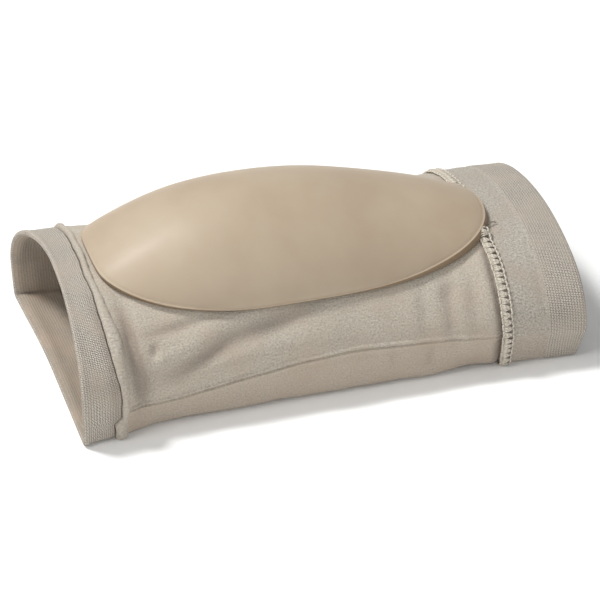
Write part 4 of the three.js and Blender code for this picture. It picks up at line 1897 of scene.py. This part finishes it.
    def _thickness(self, distance: float | np.ndarray, reach: np.ndarray,
                   flange: np.ndarray) -> np.ndarray:
        """Give the pad's thickness: a rounded lip, a narrow flange, and the dome inside it.

        Args:
            distance: Distance in from the outline, one number or one for each spoke.
            reach: Each spoke's length.
            flange: Width of the flat rim at each spoke.

        Returns:
            Thicknesses.
        """
        inside = np.clip((1 - distance / reach) * reach / (reach - flange), 0, 1)
        edge = np.clip(distance / self.edge_round, 0, 1)
        lip = self.lip - self.edge_round * (1 - np.sqrt(1 - (1 - edge) ** 2))
        lip -= self.edge_groove * hump(distance - 0.5 * MM, 0.2 * MM)
        return lip + self.dome * (1 - inside**2) ** self.dome_power

    def _ring(self, radius: np.ndarray, angle: np.ndarray,
              lift: np.ndarray) -> tuple[np.ndarray, np.ndarray]:
        """Give one ring of points.

        Args:
            radius: Shares of the way from the middle to the outline.
            angle: The spokes' angles.
            lift: Lifts over the underside.

        Returns:
            The points, and their flat places for the material.
        """
        at, arc = self.plan(radius, angle)
        points = self.form.place(at, self.form.turn_of(at, arc), self.under(at) + lift)
        return points, np.stack([(at - self.middle) * self.form.length, arc], 1)

    def _close(self, points: np.ndarray, flat: np.ndarray, layers: int,
               gel: bpy.types.Material) -> bpy.types.Object:
        """Join the rings into one closed mesh and dress it.

        Args:
            points: The underside's middle, the rings from there up, and the dome's middle.
            flat: The same points' flat places for the material.
            layers: How many rings there are.
            gel: The cast silicone.

        Returns:
            The pad.
        """
        n = self.spokes
        faces = []
        j = np.arange(n)
        k = (j + 1) % n
        for layer in range(layers - 1):
            low, high = 1 + layer * n, 1 + (layer + 1) * n
            faces.extend(np.stack([low + j, low + k, high + k, high + j], 1).tolist())
        last = 1 + (layers - 1) * n
        faces.extend(np.stack([np.zeros(n, int), k + 1, j + 1], 1).tolist())
        faces.extend(np.stack([last + j, last + k, np.full(n, len(points) - 1)], 1).tolist())
        corners = np.concatenate([np.array(face) for face in faces])
        piece = make_object("gel_pad_dome", points, faces, flat[corners], [gel])
        # Mark the lip's side, which the material paints darker: partly the gel's own tone, partly
        # shade.
        on_side = np.zeros(len(points))
        first = 1 + len(self.under_rings) * n
        on_side[first:first + len(self.side_profile) * n] = 1.0
        mark_points(piece.data, "Side", on_side)
        return dress(piece, ("gel_pad",))


@dataclass
class Studio:
    """The pale floor, the soft lights and the camera.

    Attributes:
        form: The smooth tube.
        azimuth: Degrees that the camera stands round from the sleeve's front, left below zero.
        elevation: Degrees that it stands above the floor.
        distance: Its distance from the target.
        focal_pixels: Focal length in pixels of the frame.
        frame_pixels: Width of the frame in pixels.
        sensor: Width of the sensor in millimetres.
        target: The point that it faces, before the sleeve is centred over its footprint.
        floor_size: Side of the floor.
        floor_drop: How far the floor lies below the sleeve, so that no two faces coincide.
        lights: The square soft lights. Columns: name, place, side, watts.
        light_target: The point that they face.
        sky: Strength of the even white light all round.
    """

    form: SleeveForm
    azimuth: float = -16.95
    elevation: float = 36.0
    distance: float = 0.8
    focal_pixels: float = 3725.0
    frame_pixels: float = 600.0
    sensor: float = 36.0
    target: tuple[float, float, float] = (-1.33 * MM, -7.65 * MM, 12 * MM)
    floor_size: float = 6.0
    floor_drop: float = 0.02 * MM
    lights: tuple[tuple[str, tuple[float, float, float], float, float], ...] = (
        ("key", (-0.44, 0.36, 0.95), 0.22, 10.4),
        ("front fill", (-0.06, -0.98, 0.92), 0.3, 2.0),
        ("left fill", (-0.74, -0.24, 1.05), 0.4, 3.3),
        ("low fill", (0.00, -1.20, 0.32), 0.6, 2.3),
        ("top", (-0.1, 0.1, 1.15), 0.6, 1.0),
    )
    light_target: tuple[float, float, float] = (0.0, 0.0, 10 * MM)
    sky: float = 0.23

    def camera(self) -> bpy.types.Object:
        """Set the camera at the photograph's angle.

        Returns:
            The camera.
        """
        a, e = math.radians(self.azimuth), math.radians(self.elevation)
        back = Vector((math.sin(a) * math.cos(e), -math.cos(a) * math.cos(e), math.sin(e)))
        data = bpy.data.cameras.new("camera")
        data.sensor_width = self.sensor
        data.lens = self.sensor * self.focal_pixels / self.frame_pixels
        data.clip_start, data.clip_end = 0.01, 20
        made = link(bpy.data.objects.new("camera", data))
        made.location = Vector(self.target) + Vector(self.form.shift) + back * self.distance
        made.rotation_euler = (-back).to_track_quat("-Z", "Y").to_euler()
        bpy.context.scene.camera = made
        return made

    def floor(self, paper: bpy.types.Material) -> bpy.types.Object:
        """Lay the floor.

        Args:
            paper: The floor's paper.

        Returns:
            The floor.
        """
        half = self.floor_size / 2
        mesh = bpy.data.meshes.new("floor")
        corners = [(-half, -half, 0), (half, -half, 0), (half, half, 0), (-half, half, 0)]
        mesh.from_pydata(corners, [], [(0, 1, 2, 3)])
        mesh.materials.append(paper)
        made = link(bpy.data.objects.new("floor", mesh))
        made.location.z = -self.floor_drop
        return made

    def light(self, name: str, place: tuple[float, float, float], size: float,
              watts: float) -> bpy.types.Object:
        """Hang a square, white, soft light that faces the sleeve.

        Args:
            name: The light's name.
            place: Where it hangs.
            size: Its side.
            watts: Its power.

        Returns:
            The light.
        """
        data = bpy.data.lights.new(name, "AREA")
        data.shape, data.size, data.energy = "SQUARE", size, watts
        made = link(bpy.data.objects.new(name, data))
        made.location = place
        back = Vector(place) - Vector(self.light_target)
        made.rotation_euler = back.to_track_quat("Z", "Y").to_euler()
        return made

    def fill(self) -> None:
        """Fill the room with even white light."""
        world = bpy.data.worlds.new("studio")
        world.use_nodes = True
        world.node_tree.nodes.clear()
        glow = add(world.node_tree, "ShaderNodeBackground", {}, {
            "Color": srgb("#FFFFFF"), "Strength": self.sky})
        add(world.node_tree, "ShaderNodeOutputWorld", {}, {"Surface": glow.outputs[0]})
        bpy.context.scene.world = world

    def build(self, paper: bpy.types.Material) -> None:
        """Set up the camera, the floor and the lights.

        Args:
            paper: The floor's paper.
        """
        self.camera()
        self.floor(paper)
        for light in self.lights:
            self.light(*light)
        self.fill()
        bpy.context.scene.view_settings.view_transform = "Standard"


def main() -> None:
    """Build the sleeve piece by piece and report each one."""
    logging.basicConfig(level=logging.INFO, format="%(name)s: %(message)s")
    form = SleeveForm()
    relief = FabricRelief(form)
    Studio(form).build(MattPaperFloor().build())
    brushed = BrushedPolyesterKnit(
        "brushed_polyester_knit", "#A2998B", "#C9C2B5", "#B5A595").build()
    rolled = BrushedPolyesterKnit(
        "rolled_brushed_knit", "#A0978A", "#C4BDB1", "#B1A595").build()
    brushed_band = BrushedPolyesterKnit(
        "brushed_band_knit", "#8F887E", "#C5BFB4", "#A99C8E").build()
    flat = StockinetteKnit("flat_stockinette_knit", "#EFE8DD", "#6D6458", "#BBAD9D").build()
    hem = StockinetteKnit(
        "hem_stockinette_knit", "#E5DED3", "#736A5F", "#BDB0A1", wale=0.74 * MM).build()
    inside = StockinetteKnit(
        "inner_stockinette_knit", "#C9BDAE", "#897D70", "#BAA591", wale=0.58 * MM).build()
    thread = TexturedNylonThread().build()
    dark_thread = TexturedNylonThread("cut_thread_end", "#7A6C5E", "#54473C").build()
    gel = MouldedSiliconeGel().build()
    roll = NarrowSeam(form, relief)
    NarrowBand(form, relief, roll).build([flat, inside])
    roll.build(rolled)
    SleeveBody(form, relief).build([brushed, inside])
    BroadBand(form, relief).build(brushed_band, hem)
    seam = OverlockSeam(form, relief)
    seam.bed(brushed_band)
    seam.ladder(thread)
    seam.tail(dark_thread)
    GelPad(form).build(gel)


if __name__ == "__main__":
    main()
